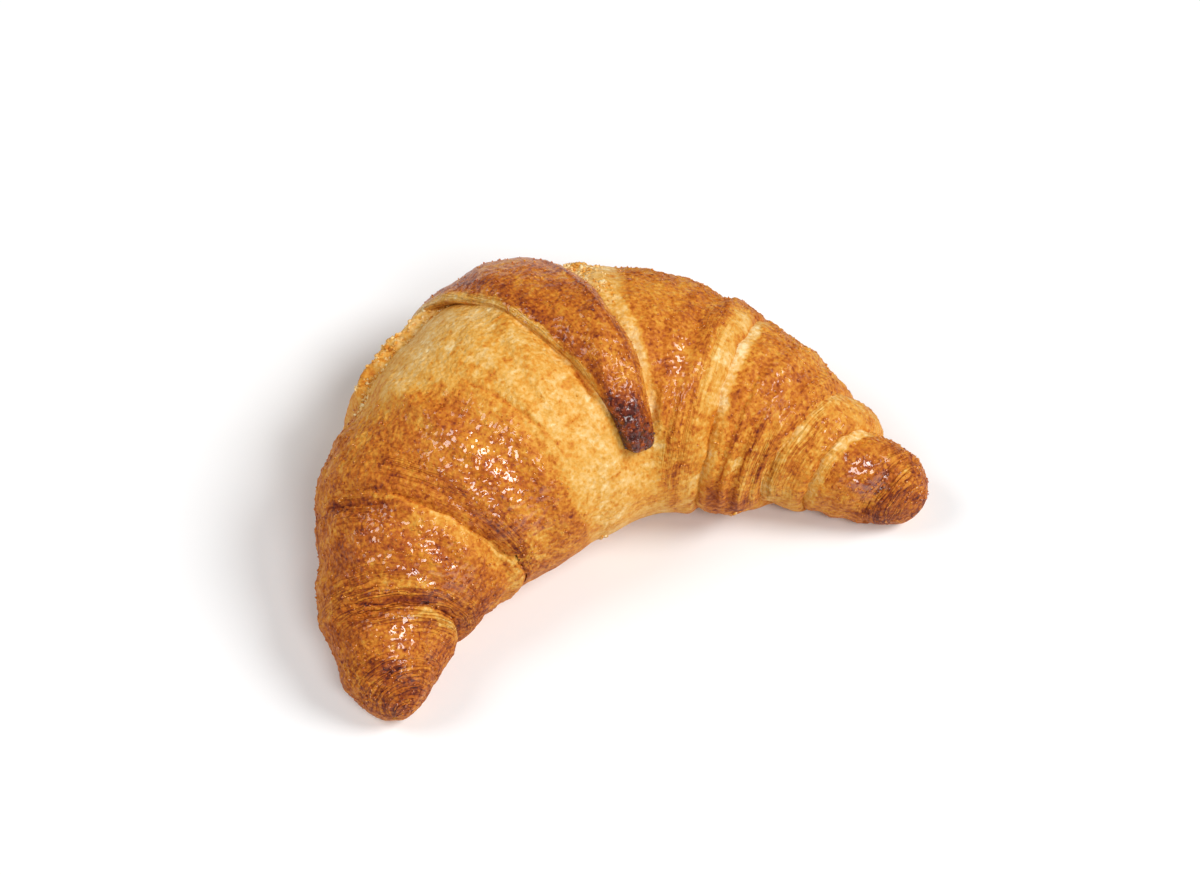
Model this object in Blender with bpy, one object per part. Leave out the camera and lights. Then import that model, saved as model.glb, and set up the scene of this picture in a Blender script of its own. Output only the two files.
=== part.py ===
"""A sugar croissant at its real size: one solid of rolled, baked dough.

The dough is a long triangle rolled up from its base, so the body is a bent tube whose wraps
step down towards both tips, and the triangle's point lies over the top as a tongue.
A place on the body has two numbers: s, the distance along the spine from the left tip,
and theta, the angle round the section, 0 at the back, 90 on top and 180 at the front.
Lengths are in millimetres, and MM turns them into Blender's metres.
"""

import math

import bmesh
import bpy
import numpy as np

MM = 0.001
NAME = "croissant"

# The spine from tip to tip, seen from above, with the half width of the body at each station.
STATIONS = (
    # x, y, half width
    (-74.9, -43.4, 7.5),
    (-65.3, -20.8, 18.7),
    (-50.1, -4.9, 28.6),
    (-30.7, 6.4, 34.3),
    (-10.5, 11.3, 35.9),
    (12.4, 7.2, 32.4),
    (34.0, -6.5, 27.3),
    (51.5, -23.3, 17.2),
    (69.4, -45.0, 7.7),
)
HEIGHT_AT_NO_WIDTH = 8.0
HEIGHT_PER_HALF_WIDTH = 1.3
WIDEST_LEVEL = 0.42  # height of the widest line, as a share of the section's height
UNDERSIDE_FULLNESS = 1.28  # how far the round underside would reach below the tray
TIP_ROUNDING = 9.0
SPINE_SAMPLES = 2000

# The edges of the wraps. An edge with side -1 faces the left tip, one with side 1 the right.
EDGES = (
    # side, s on top, lean, depth at the front, share of it at the back, length of the foot
    (-1, 7.5, 3.0, 1.0, 0.7, 2.0),
    (-1, 20.6, 2.6, 2.8, 0.35, 3.4),
    (-1, 42.6, 3.3, 3.9, 0.25, 5.0),
    (1, 138.2, -3.4, 3.2, 0.5, 4.2),
    (1, 159.4, -6.6, 2.6, 0.5, 3.4),
    (1, 169.2, -6.0, 2.4, 0.9, 3.4),
    (1, 184.0, -4.0, 1.0, 0.8, 2.0),
)
RIM_DROP = 0.4  # how far a rim rounds off, as a share of the edge's depth
RIM_ROUNDING = 4.0
EDGE_WAVE = 0.5

# The tongue: where its middle line crosses the body, its half width and its height.
TONGUE = (
    # theta, s, half width, height
    (-32.0, 85.0, 14.0, 0.2),
    (-12.0, 87.0, 13.0, 0.9),
    (8.0, 89.0, 11.5, 1.8),
    (31.0, 91.4, 9.6, 3.1),
    (55.0, 94.4, 8.6, 4.2),
    (78.0, 98.0, 8.6, 4.8),
    (99.0, 103.9, 8.7, 5.2),
    (117.0, 109.2, 7.4, 5.6),
    (131.0, 112.8, 6.3, 5.6),
    (143.0, 115.0, 5.6, 5.0),
)
TONGUE_SINK = (5.0, 1.6)  # depth of its underside in the body, at the root and at the tip
TONGUE_ROOT_DEPTH = 2.5
TONGUE_TIP_SHARE = 0.1  # the last stretch, over which its end rounds off
TONGUE_BLUNTNESS = 0.25
TONGUE_CREST = 0.18  # how far its crest lies towards its right side
TONGUE_GUTTER = 1.3
TONGUE_GUTTER_WIDTH = 3.0

# The tongue's root spreads over the back as a raised layer with a torn upper edge.
MANTLE_HEIGHT = 1.8
MANTLE_TOP_THETA = 24.0
MANTLE_RISE = 1.1  # degrees that the torn edge climbs for each millimetre past the tongue
MANTLE_FROM, MANTLE_TO = 58.0, 108.0
MANTLE_SPREAD = 0.12  # millimetres that its sides move apart for each degree down the back
MANTLE_STEP = 1.2
MANTLE_HOLLOW = 1.3  # how deep the dough lies beside the left side of this layer
MANTLE_HOLLOW_LENGTH = 9.0

# Small folds beside the right edges, parallel to them, on the front half of the body.
PLEATS = (
    # s from, s to, theta from, theta to, height, spacing
    (142.0, 157.5, 75.0, 192.0, 0.75, 5.2),
    (120.0, 136.5, 95.0, 192.0, 0.45, 5.6),
)
PLEAT_LEAN = -4.6
PLEAT_FADE_ALONG = 3.0
PLEAT_FADE_ROUND = 25.0

# Mesh density.
RING_SPACING = 3.3
RINGS_ROUND_AN_EDGE = (-4.2, -2.0, -0.3, 0.4, 1.9, 4.4)
PLEAT_RING_SPACING = 1.7
RING_CLEARANCE = 1.2
UPPER_POINTS = 35
UPPER_FROM, UPPER_TO = -28.0, 208.0
SIDE_POINTS = 2
UNDER_POINTS = 2
TONGUE_RINGS = 26
TONGUE_POINTS = 16

# Coarse sugar crystals that stand out of the crust.
CRYSTALS = 64
CRYSTALS_FROM, CRYSTALS_TO = 30.0, 165.0
CRYSTAL_RADIUS = (0.5, 0.75)
CRYSTAL_SUNK = 0.3
CRYSTAL_CLEARANCE = 2.0
CRYSTAL_SEED = 11

CRUST_COLOUR = (0.56, 0.215, 0.045, 1.0)
CRUST_ROUGHNESS = 0.42


def smoothstep(low, high, value):
    t = np.clip((value - low) / (high - low), 0.0, 1.0)
    return t * t * (3.0 - 2.0 * t)


def through(rows, t):
    """A smooth curve through evenly spaced rows, at the places t from 0 to 1."""
    rows = np.asarray(rows, float)
    last = len(rows) - 1
    padded = np.vstack([2 * rows[0] - rows[1], rows, 2 * rows[-1] - rows[-2]])
    place = np.clip(np.asarray(t, float) * last, 0.0, last)
    k = np.minimum(place.astype(int), last - 1)
    f = (place - k)[..., None]
    a, b, c, d = (padded[k + i] for i in range(4))
    bend = (2 * a - 5 * b + 4 * c - d) * f**2
    twist = (3 * b - 3 * c + d - a) * f**3
    return 0.5 * (2 * b + (c - a) * f + bend + twist)


def measure_spine():
    """Evenly sampled spine: distance from the left tip, plan position and half width."""
    rows = through(STATIONS, np.linspace(0.0, 1.0, SPINE_SAMPLES))
    steps = np.linalg.norm(np.diff(rows[:, :2], axis=0), axis=1)
    return np.concatenate([[0.0], np.cumsum(steps)]), rows


SPINE_S, SPINE_ROWS = measure_spine()
SPINE_LENGTH = SPINE_S[-1]


def spine_at(s):
    """Plan position, sideways direction (towards the back) and half width at distance s."""
    s = np.clip(s, 0.0, SPINE_LENGTH)
    x, y, half = (np.interp(s, SPINE_S, SPINE_ROWS[:, k]) for k in range(3))
    step = 1.0
    ahead, behind = np.clip(s + step, 0, SPINE_LENGTH), np.clip(s - step, 0, SPINE_LENGTH)
    dx = np.interp(ahead, SPINE_S, SPINE_ROWS[:, 0]) - np.interp(behind, SPINE_S, SPINE_ROWS[:, 0])
    dy = np.interp(ahead, SPINE_S, SPINE_ROWS[:, 1]) - np.interp(behind, SPINE_S, SPINE_ROWS[:, 1])
    size = np.hypot(dx, dy)
    return x, y, -dy / size, dx / size, half


def tip_scale(s):
    """How far the section has grown at distance s from a tip: a quarter circle at each end."""
    scale = 1.0
    for from_tip in (s, SPINE_LENGTH - s):
        q = np.clip(from_tip / TIP_ROUNDING, 0.0, 1.0)
        scale = scale * np.sqrt(np.maximum(1.0 - (1.0 - q) ** 2, 0.0))
    return scale


def degrees_round(theta):
    """Theta in degrees, from -90 under the body, through the back and the top, to 270."""
    return (np.degrees(theta) + 90.0) % 360.0 - 90.0


def upper_share(theta):
    """1 over the top and the sides, falling to a third under the body."""
    return 0.35 + 0.65 * smoothstep(-0.95, -0.35, np.sin(theta))


def edge_place(edge, theta):
    """Where an edge runs: it leans towards the tip at the back, and it wavers a little."""
    on_top, lean = edge[1], edge[2]
    wave = EDGE_WAVE * np.sin(3.0 * theta + on_top)
    return on_top - lean * np.cos(theta) + wave


def wrap_relief(s, theta):
    """Each wrap rounds off at its rim, and the next one starts deep under it."""
    relief = 0.0
    for edge in EDGES:
        side, _, _, front_depth, back_share, length = edge
        depth = front_depth * (back_share + (1.0 - back_share) * (1.0 - np.cos(theta)) / 2.0)
        beyond = side * (s - edge_place(edge, theta))
        foot = -depth * np.exp(-np.maximum(beyond, 0.0) / length)
        q = np.clip(-beyond / RIM_ROUNDING, 0.0, 1.0)
        rim = -RIM_DROP * depth * (1.0 - np.sqrt(1.0 - (1.0 - q) ** 2))
        relief = relief + np.where(beyond > 0.0, foot, rim)
    return relief * upper_share(theta)


def tongue_at(theta):
    """Middle line, half width and height of the tongue where it crosses angle theta."""
    rows = np.asarray(TONGUE)
    return tuple(np.interp(degrees_round(theta), rows[:, 0], rows[:, k]) for k in (1, 2, 3))


def gutter_relief(s, theta):
    """The dough is hollow beside the tongue, most of all near the tongue's point."""
    middle, half, _ = tongue_at(theta)
    beside = np.maximum(np.abs(s - middle) - half, 0.0)
    along = smoothstep(35.0, 85.0, degrees_round(theta))
    along = along * smoothstep(172.0, 148.0, degrees_round(theta))
    return -TONGUE_GUTTER * along * np.exp(-((beside / TONGUE_GUTTER_WIDTH) ** 2))


def mantle_relief(s, theta):
    """The raised layer over the back, with a step along its torn upper edge."""
    degrees = degrees_round(theta)
    torn = 2.0 * np.sin(0.55 * s) + 1.3 * np.sin(1.3 * s + 1.0)
    top = MANTLE_TOP_THETA + MANTLE_RISE * np.maximum(s - TONGUE[3][1], 0.0)
    below = smoothstep(3.0, -1.0, degrees - top - torn)
    spread = MANTLE_SPREAD * (MANTLE_TOP_THETA - degrees)
    past_left = s - MANTLE_FROM + spread
    past_right = s - MANTLE_TO - spread
    along = smoothstep(-MANTLE_STEP, MANTLE_STEP, past_left)
    along = along * smoothstep(MANTLE_STEP, -MANTLE_STEP, past_right)
    hollow = np.exp(-np.maximum(-past_left, 0.0) / MANTLE_HOLLOW_LENGTH)
    hollow = hollow * smoothstep(75.0, 25.0, degrees) * smoothstep(104.0, 94.0, s)
    return MANTLE_HEIGHT * below * along - MANTLE_HOLLOW * hollow * (1.0 - below * along)


def pleat_relief(s, theta):
    """The small folds beside the right edges."""
    straight = s + PLEAT_LEAN * np.cos(theta)
    degrees = degrees_round(theta)
    relief = 0.0
    for s_from, s_to, theta_from, theta_to, height, spacing in PLEATS:
        window = smoothstep(s_from, s_from + PLEAT_FADE_ALONG, straight)
        window = window * smoothstep(s_to, s_to - PLEAT_FADE_ALONG, straight)
        window = window * smoothstep(theta_from, theta_from + PLEAT_FADE_ROUND, degrees)
        window = window * smoothstep(theta_to, theta_to - PLEAT_FADE_ROUND, degrees)
        relief = relief + height * window * np.sin(2 * math.pi * straight / spacing)
    return relief


def uneven(s, theta):
    """The slow unevenness of baked dough."""
    waves = (
        # height, turns per millimetre along, turns round, phase
        (0.50, 0.026, 1, 0.4),
        (0.42, 0.041, 2, 2.1),
        (0.30, 0.067, 3, 4.0),
        (0.22, 0.110, 2, 1.2),
        (0.16, 0.155, 5, 5.2),
    )
    total = 0.0
    for height, along, turns, phase in waves:
        total = total + height * np.sin(2 * math.pi * along * s + turns * theta + phase)
    return total * upper_share(theta)


def body_point(s, theta, proud=0.0):
    """The body's surface at (s, theta), raised by proud, as x, y, z in millimetres."""
    x, y, side_x, side_y, half = spine_at(s)
    height = HEIGHT_AT_NO_WIDTH + HEIGHT_PER_HALF_WIDTH * half
    level = WIDEST_LEVEL * height
    over, under = height - level, UNDERSIDE_FULLNESS * level
    radius = np.where(np.sin(theta) >= 0.0, over, under)
    # The relief moves a point along the section's own normal.
    normal_side = np.cos(theta) / half
    normal_up = np.sin(theta) / radius
    size = np.hypot(normal_side, normal_up)
    relief = proud + wrap_relief(s, theta) + gutter_relief(s, theta)
    relief = relief + mantle_relief(s, theta) + pleat_relief(s, theta) + uneven(s, theta)
    scale = tip_scale(s)
    across = (half * np.cos(theta) + relief * normal_side / size) * scale
    up = (radius * np.sin(theta) + relief * normal_up / size) * scale
    z = np.maximum(level + up, level * (1.0 - scale))
    return np.stack([x + side_x * across, y + side_y * across, z], -1)


def ring_places():
    """Places of the rings along the spine, close together where the surface steps or folds."""
    start = TIP_ROUNDING * 0.35
    fine = [edge[1] + edge[0] * offset for edge in EDGES for offset in RINGS_ROUND_AN_EDGE]
    fine += [place + offset for place in (MANTLE_FROM, MANTLE_TO) for offset in (-1.5, 1.5)]
    fine = [s for s in fine if start < s < SPINE_LENGTH - start]
    pleats = np.arange(PLEATS[0][0], PLEATS[0][1], PLEAT_RING_SPACING)
    spread = np.arange(start, SPINE_LENGTH - start, RING_SPACING)
    for places in (pleats, spread):
        fine += [s for s in places if min(abs(s - other) for other in fine) > RING_CLEARANCE]
    tips = TIP_ROUNDING * np.array([0.03, 0.13])
    return np.sort(np.concatenate([fine, tips, SPINE_LENGTH - tips]))


def ring_lean(s):
    """The lean of the rings, taken from the edges, so that the mesh follows every step."""
    places = [0.0] + [edge[1] for edge in EDGES] + [SPINE_LENGTH]
    leans = [0.0] + [edge[2] for edge in EDGES] + [0.0]
    return np.interp(s, places, leans)


def ring_angles():
    """Angles round a section, with one point on each side where it meets the tray."""
    contact = math.degrees(math.asin(1.0 / UNDERSIDE_FULLNESS))
    corners = (UPPER_FROM, UPPER_TO, 180.0 + contact, 360.0 - contact, 360.0 + UPPER_FROM)
    counts = (UPPER_POINTS, SIDE_POINTS, UNDER_POINTS, SIDE_POINTS)
    stretches = [
        np.linspace(low, high, count, endpoint=False)
        for low, high, count in zip(corners, corners[1:], counts)
    ]
    return np.radians(np.concatenate(stretches))


def object_from_rings(name, rings, start, end):
    """A closed mesh lofted through the rings, with a point at each end."""
    mesh = bmesh.new()
    made = [[mesh.verts.new(point * MM) for point in ring] for ring in rings]
    for one, two in zip(made, made[1:]):
        for k in range(len(one)):
            after = (k + 1) % len(one)
            mesh.faces.new((one[k], one[after], two[after], two[k]))
    for ring, point in ((made[0], start), (made[-1], end)):
        pole = mesh.verts.new(point * MM)
        for k in range(len(ring)):
            mesh.faces.new((ring[k], ring[(k + 1) % len(ring)], pole))
    bmesh.ops.recalc_face_normals(mesh, faces=mesh.faces)
    return object_from_bmesh(name, mesh)


def object_from_bmesh(name, mesh):
    bmesh.ops.triangulate(mesh, faces=mesh.faces)
    data = bpy.data.meshes.new(name)
    mesh.to_mesh(data)
    mesh.free()
    return bpy.data.objects.new(name, data)


def body_grid():
    """Where the body's points lie: s and theta for each ring and each angle round it."""
    reach = 0.02 * TIP_ROUNDING
    theta = ring_angles()
    places = ring_places()[:, None]
    s = np.clip(places - ring_lean(places) * np.cos(theta), reach, SPINE_LENGTH - reach)
    return s, np.broadcast_to(theta, s.shape)


def make_body():
    start, end = (body_point(np.array(s), np.array(0.0)) for s in (0.0, SPINE_LENGTH))
    return object_from_rings(NAME, body_point(*body_grid()), start, end)


def make_tongue():
    """The tongue follows the body from the back, over the top, to its point at the front."""
    t = np.linspace(0.0, 1.0, TONGUE_RINGS)[:, None]
    theta, middle, half, height = np.split(through(TONGUE, t[:, 0]), 4, axis=1)
    sink = TONGUE_SINK[0] + (TONGUE_SINK[1] - TONGUE_SINK[0]) * t
    q = np.clip((1.0 - t) / TONGUE_TIP_SHARE, 0.0, 1.0)
    close = TONGUE_BLUNTNESS + (1.0 - TONGUE_BLUNTNESS) * np.sqrt(1.0 - (1.0 - q) ** 2)
    phi = np.linspace(0.0, 2 * math.pi, TONGUE_POINTS, endpoint=False)
    rise = np.where(np.sin(phi) > 0.0, height * close * (1.0 + TONGUE_CREST * np.cos(phi)), sink)
    buried = TONGUE_ROOT_DEPTH * smoothstep(TONGUE[2][0], TONGUE[0][0], theta)
    s = middle + half * close * np.cos(phi)
    angles = np.radians(np.broadcast_to(theta, s.shape))
    rings = body_point(s, angles, proud=rise * np.sin(phi) - buried)
    start, end = rings[0].mean(0), rings[-1].mean(0)
    return object_from_rings("tongue", rings, start, end + (end - rings[-2].mean(0)))


def make_crystals():
    """Coarse sugar crystals, sunk into the crust on points of the body drawn by a seeded rule."""
    s, theta = (values.ravel() for values in body_grid())
    middle, half, _ = tongue_at(theta)
    clear = np.abs(s - middle) > half + CRYSTAL_CLEARANCE
    on_show = (theta > math.radians(CRYSTALS_FROM)) & (theta < math.radians(CRYSTALS_TO))
    places = np.flatnonzero(clear & on_show)
    draw = np.random.default_rng(CRYSTAL_SEED)
    mesh = bmesh.new()
    for chosen in draw.choice(places, CRYSTALS, replace=False):
        radius = draw.uniform(*CRYSTAL_RADIUS)
        place = body_point(s[chosen], theta[chosen], proud=radius * (1.0 - 2 * CRYSTAL_SUNK))
        made = bmesh.ops.create_icosphere(mesh, subdivisions=1, radius=radius * MM)
        squash = draw.uniform(0.75, 1.1, 3)
        for vertex in made["verts"]:
            for axis in range(3):
                vertex.co[axis] = vertex.co[axis] * squash[axis] + place[axis] * MM
    return object_from_bmesh("crystals", mesh)


def crust_material():
    material = bpy.data.materials.new("baked_crust")
    material.use_nodes = True
    shader = material.node_tree.nodes["Principled BSDF"]
    shader.inputs["Base Color"].default_value = CRUST_COLOUR
    shader.inputs["Roughness"].default_value = CRUST_ROUGHNESS
    shader.inputs["Metallic"].default_value = 0.0
    return material


def join_all(body, others):
    """One Boolean union of the body with the tongue and the crystals, applied."""
    joined = bpy.data.collections.new("joined_to_body")
    for other in others:
        joined.objects.link(other)
    union = body.modifiers.new("union", "BOOLEAN")
    union.operation = "UNION"
    union.operand_type = "COLLECTION"
    union.collection = joined
    union.solver = "EXACT"
    bpy.context.view_layer.update()
    graph = bpy.context.evaluated_depsgraph_get()
    whole = bpy.data.meshes.new_from_object(body.evaluated_get(graph))
    body.modifiers.clear()
    body.data = whole
    for other in others:
        bpy.data.objects.remove(other)
    bpy.data.collections.remove(joined)


def centre_on_floor(obj):
    """Puts the middle of the object's footprint at the origin, with its base on z = 0."""
    points = np.array([vertex.co for vertex in obj.data.vertices])
    low, high = points.min(0), points.max(0)
    for vertex in obj.data.vertices:
        vertex.co.x -= (low[0] + high[0]) / 2
        vertex.co.y -= (low[1] + high[1]) / 2
        vertex.co.z -= low[2]


def main():
    for old in list(bpy.data.objects):
        bpy.data.objects.remove(old)
    collection = bpy.data.collections.new(NAME)
    bpy.context.scene.collection.children.link(collection)
    body = make_body()
    collection.objects.link(body)
    join_all(body, [make_tongue(), make_crystals()])
    centre_on_floor(body)
    body.data.materials.clear()
    body.data.materials.append(crust_material())
    body.data.shade_smooth()
    print("triangles:", len(body.data.polygons), "spine length:", round(SPINE_LENGTH, 1))


main()
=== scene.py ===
# %% [markdown]
# A sugar croissant. The real one is a long triangle of layered dough, rolled up from its base,
# bent into a crescent, brushed with syrup and baked until the sugar melts into a cracked glaze.
# Each turn of the roll is a wrap. The wraps step down towards both tips, and the point of the
# triangle lies over the top as a tongue. This lesson builds each wrap as a skin of its own, so
# that every rim can overhang the wrap below it, as it does in real dough.
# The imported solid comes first. Everything after it has to keep that solid's place and size.

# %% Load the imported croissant
import itertools
import math

import bpy
import numpy as np
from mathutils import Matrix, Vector


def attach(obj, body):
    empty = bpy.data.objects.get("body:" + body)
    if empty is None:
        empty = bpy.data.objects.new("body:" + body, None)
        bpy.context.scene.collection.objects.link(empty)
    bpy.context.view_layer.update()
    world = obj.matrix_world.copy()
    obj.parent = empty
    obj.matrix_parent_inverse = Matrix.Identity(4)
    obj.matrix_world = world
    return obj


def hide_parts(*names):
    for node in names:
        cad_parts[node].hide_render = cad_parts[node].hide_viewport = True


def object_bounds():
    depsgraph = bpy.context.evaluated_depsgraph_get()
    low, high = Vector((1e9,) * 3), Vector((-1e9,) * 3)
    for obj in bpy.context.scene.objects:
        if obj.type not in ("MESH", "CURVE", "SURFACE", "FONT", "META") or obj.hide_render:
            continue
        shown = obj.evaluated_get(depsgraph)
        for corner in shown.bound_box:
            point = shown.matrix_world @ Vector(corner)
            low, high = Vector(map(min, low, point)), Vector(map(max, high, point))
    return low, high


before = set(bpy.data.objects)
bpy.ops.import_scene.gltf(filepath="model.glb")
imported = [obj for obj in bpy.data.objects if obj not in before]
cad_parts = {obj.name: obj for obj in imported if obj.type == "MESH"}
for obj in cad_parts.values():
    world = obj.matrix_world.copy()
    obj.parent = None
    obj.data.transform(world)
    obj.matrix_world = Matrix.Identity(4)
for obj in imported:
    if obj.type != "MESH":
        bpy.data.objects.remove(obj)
solid_box = [list(corner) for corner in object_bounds()]
NODE = "croissant"
MM = 0.001
print("the solid's box in mm:", np.round(np.array(solid_box) / MM, 1).tolist())

# %% [markdown]
# A place on the croissant is easiest to name with two numbers: s, the distance in millimetres
# along the spine from the left tip, and theta, the angle round the section, with 0 at the back,
# 90 on top and 180 at the front. The spine is a smooth curve through a few stations. The same
# curve, with the same values, shaped the solid, so the skins made here lie on it.

# %% The spine and the section
STATIONS = (
    # x, y, half width
    (-74.9, -43.4, 7.5),
    (-65.3, -20.8, 18.7),
    (-50.1, -4.9, 28.6),
    (-30.7, 6.4, 34.3),
    (-10.5, 11.3, 35.9),
    (12.4, 7.2, 32.4),
    (34.0, -6.5, 27.3),
    (51.5, -23.3, 17.2),
    (69.4, -45.0, 7.7),
)
SPINE_ORIGIN = (5.22, -1.90)  # where the stations' origin lies from the middle of the box
HEIGHT_AT_NO_WIDTH = 8.0
HEIGHT_PER_HALF_WIDTH = 1.3
WIDEST_LEVEL = 0.42
UNDERSIDE_FULLNESS = 1.28
TIP_ROUNDING = 9.0


def smoothstep(low, high, value):
    """0 before low, 1 past high, and a smooth rise between them."""
    t = np.clip((value - low) / (high - low), 0.0, 1.0)
    return t * t * (3.0 - 2.0 * t)


def through(rows, t):
    """A smooth curve through evenly spaced rows, at the places t from 0 to 1."""
    rows = np.asarray(rows, float)
    last = len(rows) - 1
    padded = np.vstack([2 * rows[0] - rows[1], rows, 2 * rows[-1] - rows[-2]])
    place = np.clip(np.asarray(t, float) * last, 0.0, last)
    k = np.minimum(place.astype(int), last - 1)
    f = (place - k)[..., None]
    a, b, c, d = (padded[k + i] for i in range(4))
    bend = (2 * a - 5 * b + 4 * c - d) * f**2
    twist = (3 * b - 3 * c + d - a) * f**3
    return 0.5 * (2 * b + (c - a) * f + bend + twist)


spine_rows = through(STATIONS, np.linspace(0.0, 1.0, 2000))
spine_steps = np.linalg.norm(np.diff(spine_rows[:, :2], axis=0), axis=1)
spine_s = np.concatenate([[0.0], np.cumsum(spine_steps)])
LENGTH = spine_s[-1]


def spine_at(s):
    """Plan position, sideways direction (towards the back) and half width at distance s."""
    s = np.clip(s, 0.0, LENGTH)
    x, y, half = (np.interp(s, spine_s, spine_rows[:, k]) for k in range(3))
    ahead, behind = np.clip(s + 1.0, 0.0, LENGTH), np.clip(s - 1.0, 0.0, LENGTH)
    dx, dy = (
        np.interp(ahead, spine_s, spine_rows[:, k]) - np.interp(behind, spine_s, spine_rows[:, k])
        for k in range(2)
    )
    size = np.hypot(dx, dy)
    return x, y, -dy / size, dx / size, half


def tip_scale(s):
    """How far the section has grown at distance s from a tip."""
    scale = 1.0
    for from_tip in (s, LENGTH - s):
        q = np.clip(from_tip / TIP_ROUNDING, 0.0, 1.0)
        scale = scale * np.sqrt(np.maximum(1.0 - (1.0 - q) ** 2, 0.0))
    return scale


def section_point(s, theta, proud=0.0):
    """The point at (s, theta), raised from the plain section by proud, in millimetres."""
    x, y, side_x, side_y, half = spine_at(s)
    height = HEIGHT_AT_NO_WIDTH + HEIGHT_PER_HALF_WIDTH * half
    level = WIDEST_LEVEL * height
    radius = np.where(np.sin(theta) >= 0.0, height - level, UNDERSIDE_FULLNESS * level)
    normal_side, normal_up = np.cos(theta) / half, np.sin(theta) / radius
    size = np.hypot(normal_side, normal_up)
    scale = tip_scale(s)
    across = (half * np.cos(theta) + proud * normal_side / size) * scale
    up = (radius * np.sin(theta) + proud * normal_up / size) * scale
    z = np.maximum(level + up, level * (1.0 - scale))
    place = np.stack([x + side_x * across, y + side_y * across, z], -1)
    return place + np.array([*SPINE_ORIGIN, 0.0])


def degrees_round(theta):
    """Theta in degrees, from -90 under the body, through the back and the top, to 270."""
    return (np.degrees(theta) + 90.0) % 360.0 - 90.0


print("spine length in mm:", round(float(LENGTH), 1))

# %% [markdown]
# Baked dough has no smooth place on it. Three kinds of roughness are used here: clouds, which
# are smooth random hills; streaks, the same hills drawn out into lines, for the thin layers and
# the fibres; and pebbles, round bumps like sugar grains under the glaze. They could be textures
# in the material, but hills of half a millimetre and more catch the light and change the
# outline, so they are moved into the mesh, and the material adds only what is finer.

# %% Clouds, streaks and pebbles
LATTICE = np.array([374761393, 668265263, 2147483647])
CLOUD_SUM = 1.5  # what the heights of the clouds are divided by
SLICE = 0.37  # the level at which the streaks cut through the hills
PEBBLE_REACH, PEBBLE_REACH_MORE = 0.35, 0.3  # the least radius of a pebble, and what may be added


def scramble(cells, seed):
    """A fixed random number from 0 to 1 for each cell of a grid."""
    key = (cells * LATTICE).sum(-1) + seed * 104729
    key = (key ^ (key >> 13)) * 1274126177
    key = key ^ (key >> 16)
    return (key & 0xFFFF) / 65535.0


def hills(points, seed):
    """Smooth random heights from -1 to 1, with one hill to a unit cell."""
    cells = np.floor(points).astype(np.int64)
    part = points - cells
    part = part * part * (3.0 - 2.0 * part)
    total = 0.0
    for corner in itertools.product((0, 1), repeat=3):
        weight = np.prod(np.where(corner, part, 1.0 - part), axis=-1)
        total = total + weight * (2.0 * scramble(cells + np.array(corner), seed) - 1.0)
    return total


def clouds(points, size, seed, octaves=3):
    """Hills of a size in millimetres, with smaller ones on them."""
    total = 0.0
    for octave in range(octaves):
        total = total + hills(points / size * 2.0**octave, seed + octave) / 2.0**octave
    return total / CLOUD_SUM


def streaks(across, along, seed):
    """Hills drawn out into lines. Both coordinates are counted in hills."""
    place = np.stack(np.broadcast_arrays(across, along, SLICE), -1)
    return hills(place, seed)


def pebbles(points, size, share, seed):
    """Round bumps from 0 to 1, in a share of the cells of a grid of that size."""
    cells = np.floor(points / size).astype(np.int64)
    best = np.zeros(points.shape[:-1])
    for step in itertools.product((-1, 0, 1), repeat=3):
        cell = cells + np.array(step)
        middle = np.stack([scramble(cell, seed + k) for k in (1, 2, 3)], -1)
        gap = np.linalg.norm(points / size - cell - 0.25 - 0.5 * middle, axis=-1)
        reach = PEBBLE_REACH + PEBBLE_REACH_MORE * scramble(cell, seed + 4)
        bump = np.clip(1.0 - (gap / reach) ** 2, 0.0, 1.0)
        best = np.maximum(best, np.where(scramble(cell, seed + 5) < share, bump, 0.0))
    return best


def spot(s, degrees, at_s, at_degrees, reach_s, reach_degrees):
    """A soft round patch, 1 in its middle."""
    return np.exp(-(((s - at_s) / reach_s) ** 2) - ((degrees - at_degrees) / reach_degrees) ** 2)


def window(value, low, high, softness):
    """1 between two values, with soft ends."""
    rise = smoothstep(low - softness, low + softness, value)
    return rise * smoothstep(high + softness, high - softness, value)


def blend_to(value, target, share):
    """The value, moved towards the target by that share of the way."""
    return value + (target - value) * share


print("a cloud at the origin:", round(float(clouds(np.zeros(3) + 0.3, 1.0, 1)), 3))

# %% [markdown]
# The rims of the wraps. On the left arm they face the left tip, on the right arm the right tip.
# Each one leans a little, as the dough was rolled from a triangle, and wavers, as it was cut
# with a blade and then rose. Most rims stand higher at the front of the croissant than at its
# back, and the third one closes again low at the front. Five of them bound a skin; the two
# nearest the tips are only steps in their skin. Each could be cut by hand with a loop tool, but
# with one table and one loop a rim is moved or deepened by changing one row.

# %% The rims and the wraps between them
RIMS = (
    # side, s on top, lean, depth at the front, share of it at the back, length of the foot
    (-1, 7.5, 3.0, 1.0, 0.7, 2.0),
    (-1, 20.6, 2.6, 2.8, 0.35, 3.4),
    (-1, 42.6, 3.3, 3.0, 0.30, 5.0),
    (1, 138.2, -3.4, 3.2, 0.5, 4.2),
    (1, 159.4, -6.6, 2.6, 0.5, 3.4),
    (1, 169.2, -6.0, 2.4, 0.9, 3.4),
    (1, 184.0, -4.0, 1.0, 0.8, 2.0),
)
ROLLED = (
    # share of the depth that the rim rolls down, over how many mm, and how far its lip overhangs
    (0.4, 4.0, 1.0),
    (0.5, 4.0, 0.9),
    (0.9, 5.5, 0.2),
    (0.9, 6.0, 0.1),
    (0.8, 4.5, 0.2),
    (0.7, 4.0, 0.3),
    (0.4, 4.0, 1.0),
)
CLOSED_LOW = (0.0, 0.0, 0.75, 0.0, 0.0, 0.0, 0.0)  # share of the depth lost low at the front
CLOSED_ANGLES = (150.0, 182.0)  # where that loss begins and is whole
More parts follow.
